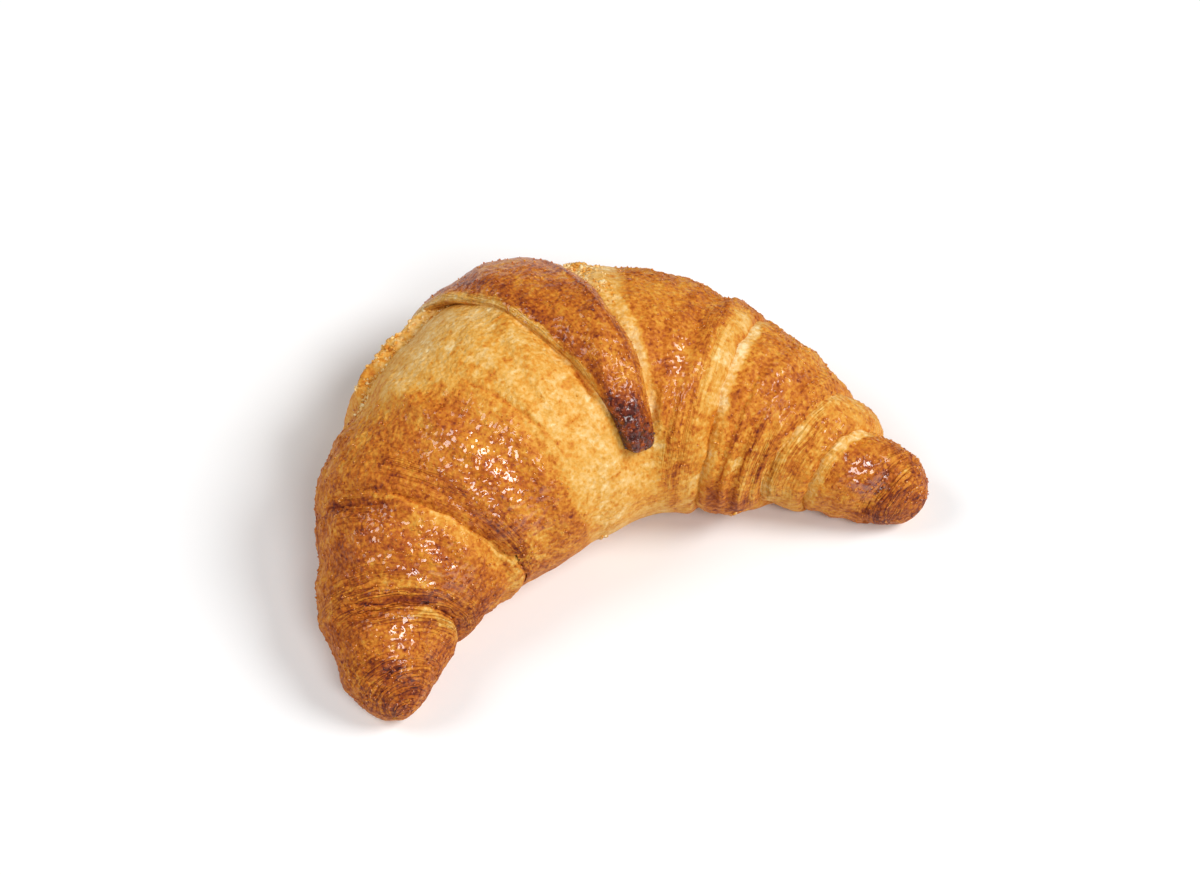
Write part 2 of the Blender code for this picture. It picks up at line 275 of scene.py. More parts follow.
BOUNDING = (1, 2, 3, 4, 5)
WRAPS = (
    # name, spacing of the rings, points round the top and the sides
    ("left_tip", 0.36, 230),
    ("second_left_wrap", 0.38, 300),
    ("middle_roll", 0.42, 330),
    ("first_right_wrap", 0.38, 300),
    ("second_right_wrap", 0.36, 250),
    ("right_tip", 0.36, 230),
)
LEFT_TIP, MIDDLE_ROLL, FIRST_RIGHT, RIGHT_TIP = 0, 2, 3, 5  # their numbers in that list
RIM_WAVE = 0.5
RIM_WAVER = ((0.20, 13.0), (0.12, 23.0))
HIDDEN = 4.5  # how far each skin runs on under its neighbour


def upper_share(theta):
    """1 over the top and the sides, falling to a third under the body."""
    return 0.35 + 0.65 * smoothstep(-0.95, -0.35, np.sin(theta))


def rim_place(rim, theta):
    """Where a rim runs."""
    _, on_top, lean = RIMS[rim][:3]
    place = on_top - lean * np.cos(theta) + RIM_WAVE * np.sin(3.0 * theta + on_top)
    for height, turns in RIM_WAVER:
        place = place + height * np.sin(turns * theta + on_top * turns)
    return place


def rim_depth(rim, theta):
    """How far a rim stands above the wrap below it."""
    front, back_share = RIMS[rim][3:5]
    closed = CLOSED_LOW[rim] * smoothstep(*CLOSED_ANGLES, degrees_round(theta))
    return front * (1.0 - closed) * (back_share + (1.0 - back_share) * (1.0 - np.cos(theta)) / 2.0)


def past_rim(rim, s, theta):
    """Millimetres past the rim, towards its tip. It is below 0 on the wrap that the rim ends."""
    return RIMS[rim][0] * (s - rim_place(rim, theta))


def on_foot_side(rim, wrap):
    """True where that wrap lies below the rim, and False where it ends in it."""
    number = BOUNDING.index(rim)
    return wrap <= number if RIMS[rim][0] < 0 else wrap > number


def straightened(s, theta):
    """A coordinate along the body whose lines of equal value lean as the rims do."""
    tops, leans = zip(*(rim[1:3] for rim in RIMS))
    return s + np.interp(s, tops, leans) * np.cos(theta)


def wrap_relief(s, theta, wrap):
    """The steps of the wraps, as one skin has them."""
    relief = 0.0
    for rim in range(len(RIMS)):
        depth, beyond = rim_depth(rim, theta), past_rim(rim, s, theta)
        foot = -depth * np.exp(-np.maximum(beyond, 0.0) / RIMS[rim][5])
        drop, rounding, _ = ROLLED[rim]
        q = np.clip(-beyond / rounding, 0.0, 1.0)
        rounded = -drop * depth * (1.0 - np.sqrt(1.0 - (1.0 - q) ** 2))
        if rim not in BOUNDING:
            relief = relief + np.where(beyond > 0.0, foot, rounded)
        elif on_foot_side(rim, wrap):
            relief = relief + foot - 0.25 * np.maximum(-beyond, 0.0)
        else:
            relief = relief + rounded
    return relief * upper_share(theta)


print("rims on top, in mm from the left tip:", [rim[1] for rim in RIMS])

# %% [markdown]
# The tongue is the point of the triangle. Only its line over the body is laid down here, as rows
# of place, width and height, with the hollow that it leaves in the soft dough beside it. A curve
# drawn by hand would do for the line alone, but with numbers every later step can ask how far
# a place lies from the tongue.

# %% The tongue's line
TONGUE = (
    # theta, s, half width, height
    (-32.0, 85.0, 14.0, 0.2),
    (-12.0, 87.0, 13.0, 0.9),
    (8.0, 89.0, 11.5, 1.8),
    (31.0, 92.0, 10.4, 3.1),
    (55.0, 95.4, 9.6, 4.2),
    (78.0, 99.2, 9.6, 4.8),
    (99.0, 104.6, 9.3, 5.2),
    (117.0, 108.8, 8.1, 5.6),
    (131.0, 111.8, 7.5, 5.6),
    (143.0, 113.6, 7.2, 5.0),
)
GUTTER_DEPTH = 1.3
GUTTER_WIDTH = 3.0
GUTTER_ANGLES = (35.0, 85.0, 148.0, 172.0)  # where it begins, is deep, grows shallow and ends


def tongue_at(degrees):
    """Middle line and half width of the tongue where it crosses that angle."""
    rows = np.asarray(TONGUE)
    return tuple(np.interp(degrees, rows[:, 0], rows[:, k]) for k in (1, 2))


def gutter_relief(s, degrees):
    """The dough is hollow beside the tongue."""
    middle, half = tongue_at(degrees)
    beside = np.maximum(np.abs(s - middle) - half, 0.0)
    begins, deep, shallow, ends = GUTTER_ANGLES
    along = smoothstep(begins, deep, degrees) * smoothstep(ends, shallow, degrees)
    return -GUTTER_DEPTH * along * np.exp(-((beside / GUTTER_WIDTH) ** 2))


print("the tongue is up to", 2 * max(row[2] for row in TONGUE), "mm wide")

# %% [markdown]
# Behind the tongue the outer layer spreads over the back of the croissant, and its upper edge
# has torn. To the left of it the dough lies lower. A separate sheet of dough would need a hidden
# side and a seam, so the layer is a raised part of the skin with a steep, wavering edge.

# %% The torn layer
TORN_HEIGHT = 1.8
TORN_TOP = 24.0  # the angle of its upper edge
TORN_RISE = 1.1  # degrees that the edge climbs for each millimetre to the right of the tongue
TORN_FROM, TORN_TO = 60.5, 108.0  # s of its two ends at that angle
TORN_SPREAD = 0.12  # millimetres that the ends move apart for each degree down the back
TORN_STEP = 1.2  # half the length over which an end rises
TORN_HOLLOW = 1.3
TORN_HOLLOW_LENGTH = 9.0


def torn_share(s, degrees, ragged=0.0):
    """1 on the layer behind the tongue, and 0 off it."""
    torn = 2.0 * np.sin(0.55 * s) + 1.3 * np.sin(1.3 * s + 1.0) + ragged
    top = TORN_TOP + TORN_RISE * np.maximum(s - TONGUE[3][1], 0.0)
    below = smoothstep(3.0, -1.0, degrees - top - torn)
    spread = TORN_SPREAD * (TORN_TOP - degrees)
    along = smoothstep(-TORN_STEP, TORN_STEP, s - TORN_FROM + spread)
    return below * along * smoothstep(TORN_STEP, -TORN_STEP, s - TORN_TO - spread)


def torn_relief(s, degrees, ragged=0.0):
    """The layer stands up, and the dough beside it lies lower."""
    share = torn_share(s, degrees, ragged)
    past_left = s - TORN_FROM + TORN_SPREAD * (TORN_TOP - degrees)
    hollow = np.exp(-np.maximum(-past_left, 0.0) / TORN_HOLLOW_LENGTH)
    hollow = hollow * smoothstep(75.0, 25.0, degrees) * smoothstep(104.0, 94.0, s)
    return TORN_HEIGHT * share - TORN_HOLLOW * hollow * (1.0 - share)


print("the torn layer runs from", TORN_FROM, "to", TORN_TO, "mm")

# %% [markdown]
# Two groups of small folds lie beside the right-hand rims, the whole body is slowly uneven, as
# dough never rises evenly, and the right tip is slimmer at its back than the solid's. All three
# are sums of waves and soft spots. Waves on a mesh could also come from a modifier with a
# texture, but here they share the rims' coordinates and lean with them.

# %% Folds, slow waves and the whole form
FOLDS = (
    # s from, s to, theta from, theta to, height, spacing
    (142.0, 157.5, 75.0, 192.0, 0.75, 5.2),
    (120.0, 136.5, 95.0, 192.0, 0.45, 5.6),
)
FOLD_LEAN = -4.6
FOLD_FADE, FOLD_FADE_ANGLE = 3.0, 25.0  # how gently a group of folds begins and ends
SLOW_WAVES = (
    # height, turns per millimetre along, turns round, phase
    (0.50, 0.026, 1, 0.4),
    (0.42, 0.041, 2, 2.1),
    (0.30, 0.067, 3, 4.0),
    (0.22, 0.110, 2, 1.2),
    (0.16, 0.155, 5, 5.2),
)
SLIMMED = (
    # s, angle, reach along, reach round, depth
    (181.0, 40.0, 8.0, 42.0, 1.9),
    (164.0, 35.0, 6.0, 34.0, 1.2),
)


def fold_relief(s, theta, degrees):
    """The small folds beside the right-hand rims."""
    straight = s + FOLD_LEAN * np.cos(theta)
    relief = 0.0
    for s_from, s_to, theta_from, theta_to, height, spacing in FOLDS:
        within = smoothstep(s_from, s_from + FOLD_FADE, straight)
        within = within * smoothstep(s_to, s_to - FOLD_FADE, straight)
        within = within * smoothstep(theta_from, theta_from + FOLD_FADE_ANGLE, degrees)
        within = within * smoothstep(theta_to, theta_to - FOLD_FADE_ANGLE, degrees)
        relief = relief + height * within * np.sin(2.0 * math.pi * straight / spacing)
    return relief


def slow_waves(s, theta):
    """The slow unevenness of baked dough, the same as the solid's."""
    total = 0.0
    for height, along, turns, phase in SLOW_WAVES:
        total = total + height * np.sin(2.0 * math.pi * along * s + turns * theta + phase)
    return total * upper_share(theta)


def slimmed(s, degrees):
    """The right tip tapers a little more at its back than the solid's does."""
    return -sum(depth * spot(s, degrees, *place) for *place, depth in SLIMMED)


def form_relief(s, theta, wrap):
    """What the solid has too, as one skin has it, but for the torn layer."""
    degrees = degrees_round(theta)
    relief = wrap_relief(s, theta, wrap) + gutter_relief(s, degrees) + slimmed(s, degrees)
    return relief + fold_relief(s, theta, degrees) + slow_waves(s, theta)


middle_form = float(form_relief(57.0, math.radians(90.0), MIDDLE_ROLL))
print("relief on top of the middle roll in mm:", round(middle_form, 2))

# %% [markdown]
# How far each place is baked. One number does most of the work: 0 is pale cream dough, a half is
# golden brown and 1 is burnt. Dough browns where it stands up to the heat, and stays pale in the
# grooves, where a neighbouring wrap covered it until it rose. It could be painted on the mesh
# with a brush. Here it is worked out in layers, as a painter would lay them down: first a
# ground for each wrap, with the pale dough round the tongue, then bands, then patches.

# %% The ground and the pale dough
GROUND = (0.60, 0.585, 0.545, 0.49, 0.40, 0.54)  # one for each wrap
PALE_TOP, PALE_BEHIND, PALE_GUTTER = 0.33, 0.36, 0.20
# lines over the croissant, as pairs of an angle and a place: s, or millimetres from the tongue
PALE_LOW = ((-40, 56), (31, 59), (58, 63), (76, 66.8), (94, 69.5), (137, 71), (163, 73), (200, 78))
PALE_HIGH = ((20, 103), (60, 106), (85, 112), (110, 118.5), (130, 119.5), (156, 123), (190, 128))
PALE_BESIDE = ((30, 9.5), (50, 8.0), (70, 5.0), (85, 3.6), (110, 2.6), (140, 4.0))


def follow(degrees, rows):
    """A line drawn over the croissant: its place at each angle."""
    angles, places = zip(*rows)
    return np.interp(degrees, angles, places)


def ground_bake(s, degrees, wrap, drift):
    """The bake before bands and patches."""
    bake = GROUND[wrap] + 0.0 * s
    if wrap != MIDDLE_ROLL:
        return bake
    pale = smoothstep(-4.0, 4.0, s - follow(degrees, PALE_LOW) + 3.0 * drift)
    pale = pale * smoothstep(2.0, -2.0, s - follow(degrees, PALE_HIGH) + 1.5 * drift)
    bake = blend_to(bake, PALE_TOP, pale)
    behind = torn_share(s, degrees) * smoothstep(92.0, 86.0, s)
    bake = blend_to(bake, PALE_BEHIND, behind)
    middle, half = tongue_at(degrees)
    beside = s - middle - half + 0.8 * drift
    covered = window(beside, -2.0, follow(degrees, PALE_BESIDE), 1.0)
    return blend_to(bake, PALE_GUTTER, covered * window(degrees, 26.0, 150.0, 8.0))


print("ground bake of the wraps:", GROUND)

# %% [markdown]
# Beside each rim run bands: a dark line along the crest, and a pale strip in the groove, where
# the dough was covered. Beside the rim 20.6 mm from the left tip, a dark line also runs along the
# foot, right under the lip: that line is painted shade. A band is measured in millimetres past
# its rim, so it follows every waver of the rim and stays right if the rim is moved.

# %% Bands beside the rims
BANDS = (
    # wrap, rim, from, to (mm past the rim), softness, angles from and to, bake, share
    # the first row darkens the foot of that rim, under its lip: painted shade
    (0, 1, 0.0, 1.3, 0.5, 20, 200, 0.68, 0.6),
    (0, 1, 1.9, 4.2, 0.9, 112, 200, 0.22, 0.9),
    (1, 1, -1.2, 0.0, 0.7, 20, 200, 0.68, 0.6),
    (1, 2, 0.0, 5.6, 1.2, 96, 200, 0.41, 0.9),
    (1, 2, 0.6, 1.6, 0.4, 60, 200, 0.24, 0.6),
    (2, 2, -1.4, 0.0, 0.5, 60, 200, 0.63, 0.7),
    (2, 2, -7.0, -1.5, 1.6, 60, 200, 0.60, 0.5),
    (2, 3, -5.0, 0.0, 1.6, 50, 200, 0.24, 0.9),
    (2, 3, -2.6, -0.2, 0.8, 60, 160, 0.20, 0.7),
    (3, 3, -1.0, 2.6, 0.9, 45, 130, 0.10, 0.95),
    (3, 3, -1.0, 2.6, 0.9, 135, 200, 0.26, 0.95),
    (3, 4, -5.0, 0.0, 1.2, 118, 200, 0.29, 0.85),
    (4, 4, -1.0, 2.8, 0.9, 40, 200, 0.26, 0.85),
    (4, 4, 3.4, 6.4, 0.8, 85, 150, 0.50, 0.6),
    (4, 5, -1.2, 0.0, 0.5, 90, 190, 0.60, 0.7),
    (5, 5, -1.0, 3.4, 0.8, 64, 180, 0.14, 0.95),
)
BAND_ENDS = 14.0  # how softly a band begins and ends, in degrees


def with_bands(bake, s, theta, wrap, drift):
    """The bake with the bands of that wrap laid over it."""
    degrees = degrees_round(theta)
    for number, rim, low, high, softness, angle_from, angle_to, target, share in BANDS:
        if number == wrap:
            past = past_rim(rim, s, theta) + 1.2 * softness * drift
            share = share * window(past, low, high, softness)
            bake = blend_to(bake, target, share * window(degrees, angle_from, angle_to, BAND_ENDS))
    return bake


print("bands beside the rims:", len(BANDS))

# %% [markdown]
# Last come patches, where an oven is hotter or the dough thinner, the dark line of one fold and
# the dark end of the right tip. Two pale patches on the back of the middle roll, left of the
# tongue, are painted light: that side faces away from the lamps, and they lighten it. Their edges
# are moved about by clouds, so that no patch shows the oval that it is made from. Under the body,
# where the tray was, the crust is evenly golden.

# %% Patches and the whole bake
PATCHES = (
    # wrap, s, angle, reach along, reach round, bake, share
    (0, 14.0, 125, 4.0, 45, 0.50, 0.7),
    (0, 4.0, 100, 4.0, 90, 0.68, 0.6),
    (1, 29.0, 60, 6.0, 20, 0.68, 0.6),
    (1, 27.5, 172, 5.0, 18, 0.62, 0.7),
    (1, 30.0, 115, 6.0, 30, 0.53, 0.7),
    (2, 52.0, 38, 9.0, 22, 0.54, 0.7),
    (2, 57.0, 115, 9.0, 30, 0.52, 0.5),
    (2, 129.0, 148, 7.0, 34, 0.42, 0.8),
    (2, 57.0, 168, 11.0, 16, 0.54, 0.7),
    (2, 92.0, 142, 8.0, 16, 0.26, 0.8),
    (2, 81.0, 118, 6.0, 20, 0.27, 0.7),
    (2, 98.0, 124, 5.0, 9, 0.16, 0.8),
    (3, 143.0, 181, 8.0, 15, 0.72, 0.95),
    (3, 149.0, 85, 6.0, 30, 0.53, 0.6),
    (3, 146.0, 140, 6.0, 22, 0.42, 0.7),
    # these two lighten the back of the middle roll, which faces away from the lamps: painted light
    (2, 73.0, 52, 13.0, 20, 0.20, 0.75),
    (2, 70.0, 32, 10.0, 12, 0.22, 0.7),
    (2, 118.0, 48, 7.0, 22, 0.47, 0.7),
    (4, 164.0, 130, 4.0, 30, 0.36, 0.6),
    (5, 178.0, 125, 6.0, 26, 0.56, 0.7),
    (5, 172.0, 166, 5.0, 16, 0.44, 0.8),
)
END_BAND = ((40, 189), (60, 188), (105, 186.5), (140, 182.7), (160, 180), (188, 175.7), (215, 173))
DARK_FOLD = ((80, 158.5), (115, 156.4), (127, 153.9), (166, 150), (190, 148.5))
DARK_FOLD_BAKE, END_BAKE, UNDER_BAKE = 0.70, 0.66, 0.5


def bake_of(s, theta, wrap, points):
    """How far each place is baked, from 0 to 1."""
    degrees = degrees_round(theta)
    drift = clouds(points, 4.0, seed=31)
    bake = with_bands(ground_bake(s, degrees, wrap, drift), s, theta, wrap, drift)
    for number, at_s, at_degrees, reach_s, reach_degrees, target, share in PATCHES:
        if number == wrap:
            near = spot(s + 3.0 * drift, degrees, at_s, at_degrees, reach_s, reach_degrees)
            bake = blend_to(bake, target, share * np.clip(1.4 * near, 0.0, 1.0))
    if wrap == FIRST_RIGHT:
        line = s - follow(degrees, DARK_FOLD) + drift
        along = smoothstep(95.0, 125.0, degrees)
        bake = blend_to(bake, DARK_FOLD_BAKE, 0.8 * np.exp(-((line / 0.8) ** 2)) * along)
    if wrap == RIGHT_TIP:
        past_band = s - follow(degrees, END_BAND) + drift
        bake = blend_to(bake, END_BAKE, smoothstep(-1.0, 2.5, past_band))
    under = smoothstep(-0.45, -0.75, np.sin(theta))
    return blend_to(bake, UNDER_BAKE, under)


print("patches:", len(PATCHES))

# %% [markdown]
# The syrup glaze pooled where the crust faces up. A second number says how much of it lies on
# each place. Glazed crust is smoother, glossier and deeper in colour than dry crust. A film of
# its own over the skin would show a rim where it ends, and real glaze soaks in and has none.

# %% Where the glaze lies
GLAZED = (
    # s, angle, reach along, reach round, amount
    (58, 118, 11, 34, 1.0),
    (32, 108, 8, 42, 0.9),
    (126, 96, 6, 30, 0.45),
    (150, 92, 7, 30, 0.42),
    (177, 126, 7, 24, 0.95),
    (13, 105, 7, 40, 0.6),
    (166, 100, 5, 25, 0.5),
    (4, 110, 4, 50, 0.4),
)


def glaze_of(s, degrees, points, bake):
    """How much melted sugar lies on each place, from 0 to 1."""
    glaze = 0.0
    for at_s, at_degrees, reach_s, reach_degrees, amount in GLAZED:
        glaze = np.maximum(glaze, amount * spot(s, degrees, at_s, at_degrees, reach_s, reach_degrees))
    broken = smoothstep(-0.5, 0.2, clouds(points, 3.0, seed=37) + glaze - 0.3)
    return glaze * broken * smoothstep(0.30, 0.48, bake)


print("pools of glaze:", len(GLAZED))

# %% [markdown]
# The dough is a stack of thin layers with butter between them. Where a rim cuts through the
# stack the layers part, and their edges show as fine dark lines that run along the rim. Single
# sheets would take millions of faces, so streaks that run with the rims stand in for them, the
# broad ones in the mesh and the fine ones in the material.

# %% Layers
LAYERED = (
    # s, angle, reach along, reach round, strength
    (3, 100, 8, 110, 0.9),
    (11, 160, 7, 40, 0.6),
    (21, 110, 6, 90, 1.0),
    (24, 165, 6, 40, 0.7),
    (38, 55, 4, 25, 0.6),
    (48, 150, 5, 40, 0.5),
    (48, 95, 4, 35, 0.5),
    (129, 150, 6, 40, 0.5),
    (133, 90, 4, 50, 0.4),
    (152, 155, 7, 35, 0.9),
    (160, 120, 4, 60, 0.6),
    (167, 130, 5, 40, 0.4),
    (184, 140, 7, 70, 1.0),
)


def weight_of(rows, s, degrees):
    """The strongest of several soft patches at each place."""
    total = 0.0
    for at_s, at_degrees, reach_s, reach_degrees, strength in rows:
        near = strength * spot(s, degrees, at_s, at_degrees, reach_s, reach_degrees)
        total = np.maximum(total, near)
    return total


def layer_lines(s, theta, points):
    """Strength of the layers, the coordinate that counts across them, and their slant."""
    degrees = degrees_round(theta)
    strength = np.clip(1.3 * weight_of(LAYERED, s, degrees), 0.0, 1.0)
    straight = straightened(s, theta) + 0.6 * clouds(points, 7.0, seed=51, octaves=2)
    return strength, straight, streaks(straight / 1.6, theta * 1.3, seed=53)


print("layered places:", len(LAYERED))

# %% [markdown]
# On dry, flaky places the topmost layer has peeled and left shallow patches with sharp borders.
# A cloud that is cut off at one height gives such borders: inside the cut the layer is gone,
# and a thin brown line follows the edge.

# %% Peeled patches
PEELED = (
    # s, angle, reach along, reach round, strength
    (54, 168, 10, 20, 1.0),
    (30, 165, 7, 20, 0.7),
    (145, 138, 7, 28, 1.0),
    (155, 165, 5, 25, 0.6),
    (172, 168, 6, 20, 0.7),
    (90, 170, 16, 18, 0.5),
    (8, 40, 5, 20, 0.9),
)


def peeled_share(s, degrees, points, pale):
    """1 where the top layer is gone, and the border round it."""
    weight = np.maximum(weight_of(PEELED, s, degrees), 0.55 * pale)
    value = 0.45 * clouds(points, 3.4, seed=59) + 0.30 * weight - 0.22
    return smoothstep(0.0, 0.05, value), np.exp(-(((value + 0.01) / 0.025) ** 2)) * weight


print("flaky places:", len(PEELED))

# %% [markdown]
# The crust cracks as it cools, mostly along the layers. Each crack is a line through a few
# places, made ragged by clouds, and both the height and the bake follow it. The second line is
# the hollow beside the tongue's end, and its dark bake is partly torn dough and partly painted
# shade. Cut grooves would be sharper, but they would break the even rings of the skin.

# %% Cracks
CRACKS = (
    # (angle, s) along it, width, depth, bake
    (((80, 70.6), (84, 71), (111, 75), (128, 77), (133, 77.6)), 0.6, 0.45, 0.52),
    # the hollow beside the tongue's end: dark partly from torn dough, partly painted shade
    (((104, 96.2), (110, 97.4), (117, 98.8)), 0.9, 0.8, 0.60),
    (((36, 38.0), (48, 38.4), (60, 38.8), (72, 39.6), (78, 40.2)), 0.45, 0.6, 0.84),
    (((12, 12.4), (24, 12.0), (34, 11.2)), 0.4, 0.5, 0.80),
    (((60, 21.0), (85, 20.2), (100, 21.6), (130, 22.4)), 0.35, 0.4, 0.85),
    (((112, 46.2), (128, 46.8), (150, 47.6), (176, 48.4)), 0.35, 0.35, 0.74),
    (((104, 49.0), (126, 49.8), (150, 50.4)), 0.3, 0.25, 0.72),
    (((122, 144.0), (140, 142.6), (158, 141.0)), 0.35, 0.3, 0.68),
    (((110, 150.5), (130, 148.6), (152, 146.4)), 0.35, 0.3, 0.70),
    (((100, 131.4), (130, 129.4), (160, 128.0), (180, 127.4)), 0.4, 0.3, 0.54),
    (((112, 127.0), (140, 125.6), (170, 125.0)), 0.35, 0.25, 0.53),
)


def with_cracks(relief, bake, s, degrees, points):
    """The relief and the bake with the cracks in them."""
    for rows, width, depth, target in CRACKS:
        angles = [row[0] for row in rows]
        away = s - follow(degrees, rows) + 0.5 * clouds(points, 2.5, seed=43, octaves=2)
        near = np.exp(-((away / width) ** 2)) * window(degrees, angles[0], angles[-1], 4.0)
        relief = relief - depth * near
        bake = blend_to(bake, target, 0.85 * near)
    return relief, bake


print("cracks:", len(CRACKS))

# %% [markdown]
# A mesh is a list of points and a list of faces that join them. Every closed piece here is a
# tube: rings of points, joined ring by ring, with one more point to close each end. Blender's
# own loft tools would ask for curves first, and the points are known already. Each point also
# carries marks, such as its bake, which the material reads later.

# %% Tubes of points
BOX_MARGIN = 0.4  # over how many millimetres a bulge is pressed flat


def held_inside(points):
    """Presses the last fraction of a millimetre back inside the solid's box."""
    low, high = (np.array(corner) / MM for corner in solid_box)
    over = np.maximum(points - (high - BOX_MARGIN), 0.0)
    points = np.where(over > 0.0, high - BOX_MARGIN * np.exp(-over / BOX_MARGIN), points)
    under = np.maximum(low + BOX_MARGIN - points, 0.0)
    pressed = low + BOX_MARGIN * np.exp(-under / BOX_MARGIN)
    return np.where((under > 0.0) & (np.arange(3) < 2), pressed, points)


def mesh_object(name, points, faces, marks):
    """A smooth mesh object, with a number for each point under each mark's name."""
    mesh = bpy.data.meshes.new(name)
    mesh.from_pydata(held_inside(np.asarray(points).reshape(-1, 3)) * MM, [], faces)
    for mark, values in marks.items():
        layer = mesh.attributes.new(mark, "FLOAT", "POINT")
        layer.data.foreach_set("value", np.ravel(values).astype(np.float32))
    mesh.shade_smooth()
    piece = bpy.data.objects.new(name, mesh)
    bpy.context.scene.collection.objects.link(piece)
    return piece


def tube_faces(rings, around):
    """Faces of a closed tube of rings, with a point at each end as the last two points."""
    k = np.arange(around)
    after = (k + 1) % around
    faces = []
    for ring in range(rings - 1):
        low, high = ring * around, (ring + 1) * around
        faces += np.stack([low + k, low + after, high + after, high + k], 1).tolist()
    first, last = rings * around, rings * around + 1
    faces += np.stack([after, k, np.full(around, first)], 1).tolist()
    end = (rings - 1) * around
    faces += np.stack([end + k, end + after, np.full(around, last)], 1).tolist()
    return faces


def close_tube(name, points, marks):
    """A closed tube from a grid of points, rings by around."""
    rings, around = points.shape[:2]
    ends = np.stack([points[0].mean(0), points[-1].mean(0)])
    every = np.concatenate([points.reshape(-1, 3), ends])
    closed = {
        mark: np.concatenate([np.ravel(values), [values[0].mean(), values[-1].mean()]])
        for mark, values in marks.items()
    }
    return mesh_object(name, every, tube_faces(rings, around), closed)


print("a tube of 3 rings of 4 points has", len(tube_faces(3, 4)), "faces")

# %% [markdown]
# Each wrap becomes a skin: rings of points, lofted from its rim to where it disappears under its
# neighbour. A subdivided cage would be quicker to write, but the rings can follow the leaning
# rims exactly, so the thin layers run true. At a rim the skin curls over and back under itself,
# which gives the dark line of shadow that outlines each wrap of a real croissant. On the inside
# of the bend the rings of the middle roll crowd together, and there they are evened out.

# %% The rings of a skin
ANGLES_BELOW = 44  # points round the underside
CURL = (
    # out past the rim (a share of its lip, or mm where it turns back), share of the depth below it
    (0.30, 0.10),
    (0.50, 0.30),
    (0.55, 0.55),
    (0.35, 0.80),
    (-0.4, 1.05),
    (-1.8, 1.30),
)
CURL_LEAST = 0.3  # the least height of the curl, in mm
EASED_PASSES = 400
CROWDED = (0.62, 0.30)  # the gap, as a share of the usual, where easing begins and is whole
RIM_RINGS = 12  # rings at a rim, which are never eased


def section_angles(upper):
    """Angles round a section, close together over the top and the sides."""
    above = np.linspace(-30.0, 210.0, upper, endpoint=False)
    below = np.linspace(210.0, 330.0, ANGLES_BELOW, endpoint=False)
    return np.radians(np.concatenate([above, below]))


def wrap_rings(wrap):
    """s, theta and extra sinking for each ring of a wrap, as grids of rings by angles."""
    _, spacing, upper = WRAPS[wrap]
    theta = section_angles(upper)
    start = rim_place(BOUNDING[wrap - 1], theta) if wrap > LEFT_TIP else 0.0 * theta
    end = rim_place(BOUNDING[wrap], theta) if wrap < RIGHT_TIP else 0.0 * theta + LENGTH
    if wrap > LEFT_TIP and on_foot_side(BOUNDING[wrap - 1], wrap):
        start = start - HIDDEN
    if wrap < RIGHT_TIP and on_foot_side(BOUNDING[wrap], wrap):
        end = end + HIDDEN
    share = np.linspace(0.0, 1.0, int((end - start).mean() / spacing) + 1)
    if wrap == LEFT_TIP:
        share = 1.0 - np.cos(share * math.pi / 2.0)
    if wrap == RIGHT_TIP:
        share = np.sin(share * math.pi / 2.0)
    s = start + (end - start) * share[:, None]
    sink = np.zeros_like(s)
    for edge, index in ((start, wrap - 1), (end, wrap)):
        if not 0 <= index < len(BOUNDING) or on_foot_side(BOUNDING[index], wrap):
            continue
        rim = BOUNDING[index]
        drop, _, lip = ROLLED[rim]
        depth = (1.0 - drop) * rim_depth(rim, theta) * upper_share(theta) + CURL_LEAST
        curl_s = np.array([edge + RIMS[rim][0] * (out * lip if out > 0 else out) for out, _ in CURL])
        curl_sink = np.array([depth * down for _, down in CURL])
        if edge is start:
            s, sink = np.vstack([curl_s[::-1], s]), np.vstack([curl_sink[::-1], sink])
        else:
            s, sink = np.vstack([s, curl_s]), np.vstack([sink, curl_sink])
    return np.clip(s, 0.02, LENGTH - 0.02), np.broadcast_to(theta, s.shape), sink


def eased(points):
    """Evens out the rings where the inside of the bend has crowded them together."""
    apart = np.linalg.norm(np.diff(points, axis=0), axis=-1)
    crowded = smoothstep(*CROWDED, apart / np.median(apart, axis=1, keepdims=True))
    weight = np.zeros(points.shape[:2])
    weight[1:-1] = np.maximum(crowded[1:], crowded[:-1])
    weight[:RIM_RINGS] = weight[-RIM_RINGS:] = 0.0
    for _ in range(EASED_PASSES):
        middle = (points[:-2] + points[2:]) / 2.0
        points[1:-1] += 0.9 * weight[1:-1, :, None] * (middle - points[1:-1])
        weight[1:-1] = np.maximum(weight[1:-1], 0.5 * (weight[:-2] + weight[2:]))
    return points


print("rings of each skin:", [len(wrap_rings(wrap)[0]) for wrap in range(len(WRAPS))])

# %% [markdown]
# Now the wraps themselves. The form that the solid has, the torn layer and the roughness of the
# crust are added up to one height at each point. Browned crust is rougher than pale dough, glaze
# fills its hollows, and behind the top, where no syrup ran, the sugar stands up like frost. A
# displacement modifier could raise the points too, but here height and colour share their clouds.

# %% Make the wraps
BROAD_SIZE, FINE_SIZE, GRAIN_SPACING, GRAIN_SHARE = 6.5, 2.4, 1.25, 0.6
BROAD_HEIGHT, FINE_HEIGHT, GRAIN_HEIGHT, PEEL_DEPTH = 0.20, 0.05, 0.12, 0.12
BROAD_BROWNED, FINE_BROWNED, GRAIN_BROWNED, PEEL_BROWNED = 0.14, 0.15, 0.06, 0.06  # added by browning
FINE_GLAZED, GRAIN_GLAZED = 0.06, 0.10  # taken away by glaze
FROST_HEIGHT = 0.28
FROST_ANGLES = (85.0, 50.0)  # where the frost begins and is whole
LAYER_HEIGHT, FIBRE_HEIGHT = 0.40, 0.06
RAGGED = 2.2  # how uneven the edge of the torn layer is


